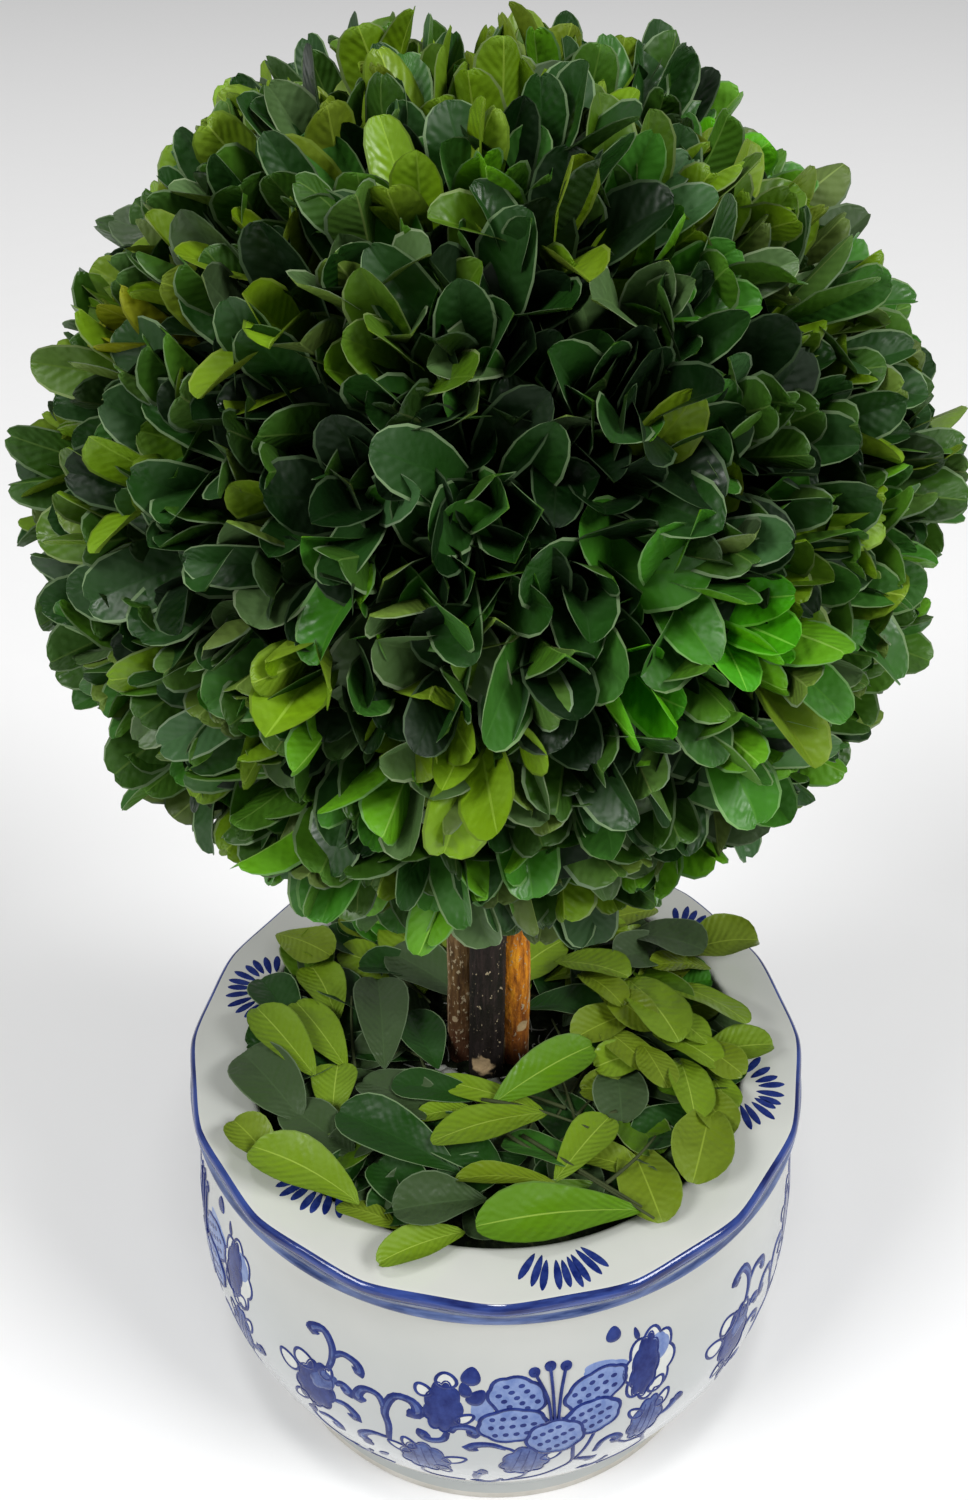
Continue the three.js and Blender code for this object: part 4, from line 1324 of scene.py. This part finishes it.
def glaze_material():
    """Off-white glaze: faintly clouded, with painted shade that makes it cooler and darker down the body
    than on the rim, on a surface not quite level.
    """
    material = new_material("white_glaze", (0.60, 0.61, 0.57), 0.10, coat=0.4)
    where = object_place(material)
    cloud = ramp(material, noise(material, where, 22.0, 4.0), (
        (0.30, (0.54, 0.558, 0.525)),
        (0.55, (0.59, 0.60, 0.56)),
        (0.75, (0.62, 0.625, 0.59)),
    ))
    height = part_of(material, where, "Z")
    # Painted shade: the colour darkens and cools from the rim down the body, most on the lower belly.
    painted_body_shade = ramp(material, rescale(material, height, 0, 1, 0, POT_HEIGHT * MILLIMETRE), (
        (0.03, (0.63, 0.65, 0.665)),
        (0.20, (0.59, 0.62, 0.68)),
        (0.55, (0.71, 0.73, 0.77)),
        (0.90, (0.80, 0.80, 0.80)),
        (0.97, (0.97, 0.97, 0.97)),
    ))
    link_shader(material, "Base Color", mixed(material, "MULTIPLY", 1.0, cloud, painted_body_shade))
    link_shader(material, "Roughness", rescale(material, noise(material, where, 90.0), 0.07, 0.17))
    bump(material, noise(material, where, 55.0, 2.0), 0.0005, 0.5)
    return material


def paint_material(name, deep, pale):
    """Cobalt paint under the glaze: brushed unevenly, from a deep tone to a watery one."""
    stops = ((0.36, deep), (0.66, pale))
    return mottled(name, deep, 0.12, stops, (420, 4, 0.65), (300, 2), 0.00008, (1, 1, 0.6), gloss=0.08)


def band_material(name, deep, pale):
    """The rim's blue band: long streaks that run round the pot."""
    stops = ((0.38, deep), (0.62, pale))
    return mottled(name, deep, 0.10, stops, (85, 4, 0.6), None, 0.00008, (1, 1, 9), gloss=0.36, coat=0.3)


FLECK = (0.42, 0.34, 0.22)


def bark_material(name, flecks_from, dark, middle, light, scar, foot):
    """Bark: tones drawn out along the stick that turn to another at its foot, small pale flecks, and a cut
    scar where the mark is."""
    material = new_material(name, middle, 0.72, gloss=0.3)
    where = object_place(material, (1, 1, 0.16))
    grain = noise(material, where, 900.0, 5.0, 0.65)
    tone = ramp(material, grain, ((0.34, dark), (0.52, middle), (0.70, light)))
    height = part_of(material, object_place(material), "Z")
    wavy = arithmetic(material, "ADD", height, arithmetic(material, "MULTIPLY", grain, 0.020))
    near_foot = rescale(material, wavy, 1, 0, 0.096, 0.121)
    flecks = noise(material, object_place(material, (1, 1, 0.6)), 1150.0, 2.0)
    fleck = rescale(material, flecks, 0, 0.85, flecks_from, flecks_from + 0.05)
    mark = node(material, "ShaderNodeAttribute", attribute_name="mark").outputs["Fac"]
    scarred = rescale(material, mark, 0, 1, 0.35, 0.55)
    for amount, colour in ((near_foot, foot), (fleck, FLECK), (scarred, scar)):
        tone = mixed(material, "MIX", amount, tone, (*colour, 1))
    link_shader(material, "Base Color", tone)
    link_shader(material, "Roughness", rescale(material, grain, 0.55, 0.85))
    bump(material, arithmetic(material, "ADD", grain, flecks), 0.00025)
    return material


# Name, where its flecks begin in their noise, and colours in thousandths: dark, middle, light, scar, foot.
BARKS = {
    "front": ("dark_bark", 0.66, (3, 2, 2, 12, 7, 6, 34, 21, 19, 460, 330, 180, 8, 5, 4)),
    "left": ("brown_bark", 0.60, (40, 18, 6, 120, 64, 20, 230, 140, 60, 360, 270, 160, 70, 24, 10)),
    "right": ("orange_bark", 0.62, (230, 65, 8, 640, 215, 10, 850, 360, 18, 480, 350, 180, 130, 36, 10)),
    "back": ("back_bark", 0.64, (24, 13, 7, 80, 44, 20, 150, 90, 45, 300, 220, 150, 50, 24, 10)),
}
CLAY_STOPS = ((0.3, (0.44, 0.42, 0.37)), (0.7, (0.55, 0.53, 0.48)))
FOAM_STOPS = ((0.35, (0.004, 0.006, 0.003)), (0.55, (0.012, 0.018, 0.008)), (0.72, (0.045, 0.050, 0.022)))

LEAF_FINISH = {tint: tint_materials(tint) for tint in TINTS}
TWIG_FINISH = plain_relief("green_twig", (0.045, 0.060, 0.020), 0.7, 900.0, 0.0001)
BUD_FINISH = plain_relief("pale_bud", (0.22, 0.28, 0.06), 0.6, 900.0, 0.00006)
FOAM_FINISH = mottled(
    "dark_foam", (0.010, 0.014, 0.007), 0.95, FOAM_STOPS, (500, 5), (900, 5), 0.0006, gloss=0.1
)
GLUE_FINISH = plain_relief("dry_glue", (0.24, 0.25, 0.22), 0.35, 500.0, 0.0002)
GLAZE_FINISH = glaze_material()
CLAY_FINISH = mottled("bare_clay", (0.50, 0.48, 0.43), 0.8, CLAY_STOPS, (160, 5), (700, 4), 0.0001)
BAND_FINISH = band_material("blue_band", *colours((14, 30, 110, 100, 145, 300)))
BAND_EDGE_FINISH = band_material("blue_band_edge", *colours((3, 9, 82, 26, 54, 230)))
# The slate blue of the foot line, and of the painted highlight between the lip's bands.
FOOT_LINE_AND_LIP_HIGHLIGHT_FINISH = band_material("foot_line_and_lip_highlight", *colours((100, 120, 190, 280, 310, 360)))
BARK_FINISH = {
    stick: bark_material(name, flecks_from, *colours(tones))
    for stick, (name, flecks_from, tones) in BARKS.items()
}
PAINTS = [
    paint_material("cobalt_dark", *colours((6, 14, 112, 23, 42, 195))),
    paint_material("cobalt_middle", *colours((18, 34, 155, 85, 128, 320))),
    paint_material("cobalt_light", *colours((125, 185, 400, 220, 290, 500))),
    paint_material("bare_petal", *colours((560, 580, 560, 630, 640, 600))),
]

# The object
plant_random = np.random.default_rng(11)
twig_directions = sprig_directions(plant_random)
leaves_of_ball = ball_leaves(twig_directions, plant_random)
tints_of_ball = leaf_tints(twig_directions, leaves_of_ball, plant_random)
leaf_pieces = make_leaf_pieces("ball_leaves", BALL_LEAF, leaves_of_ball, tints_of_ball)
for leaf_piece in leaf_pieces:
    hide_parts("leaf_ball")
make_ball_twigs(twig_directions, leaves_of_ball, plant_random)
make_ball_buds(twig_directions, leaves_of_ball, plant_random)
make_ball_core()
make_pot()
make_body_ornament()
make_rim_fans()
make_filling()
for stick in STICKS:
    make_stick(*stick)
make_glue()
make_leaf_bed()
make_loose_stems()


# Studio

def in_scene(name, data):
    """A new object for a mesh, lamp or camera, linked to the scene."""
    thing = bpy.data.objects.new(name, data)
    bpy.context.scene.collection.objects.link(thing)
    return thing


def make_floor():
    """A plain pale floor, level with the pot's underside."""
    size = 3.0
    corners = [(-size, -size, 0), (size, -size, 0), (size, size, 0), (-size, size, 0)]
    mesh = bpy.data.meshes.new("studio_floor")
    mesh.from_pydata(corners, [], [(0, 1, 2, 3)])
    material = new_material("pale_floor", (0.86, 0.86, 0.86), 0.9)
    bump(material, noise(material, object_place(material), 40.0), 0.0002)
    mesh.materials.append(material)
    floor = in_scene("studio_floor", mesh)


def make_light(name, place, size, power):
    """A soft square lamp, turned towards the ball."""
    data = bpy.data.lights.new(name, "AREA")
    data.size = size
    data.energy = power
    lamp = in_scene(name, data)
    lamp.location = place
    x, y, z = np.array([0, 0, 0.16]) - np.array(place)
    lamp.rotation_euler = (np.arctan2(np.hypot(x, y), -z), 0, np.arctan2(y, x) - np.pi / 2)


def make_world():
    world = bpy.data.worlds.new("studio_air")
    world.use_nodes = True
    background = world.node_tree.nodes["Background"]
    background.inputs["Color"].default_value = (1, 1, 1, 1)
    background.inputs["Strength"].default_value = 0.28
    bpy.context.scene.world = world


def make_camera():
    data = bpy.data.cameras.new("photo_view")
    data.sensor_fit = "VERTICAL"
    data.sensor_height = 36.0
    data.lens = CAMERA_LENS
    data.clip_start = 0.01
    camera = in_scene("photo_view", data)
    camera.location = [value * MILLIMETRE for value in CAMERA_PLACE]
    camera.rotation_euler = (np.radians(CAMERA_PITCH), 0, 0)
    bpy.context.scene.camera = camera


make_floor()
make_world()
make_light("left_lamp", (-1.75, -1.35, 2.15), 1.0, 51.0)
make_light("right_lamp", (1.95, -1.20, 2.15), 1.0, 62.0)
make_light("top_lamp", (0.0, -0.50, 2.60), 0.3, 12.0)
make_camera()
bpy.context.scene.view_settings.view_transform = "Standard"
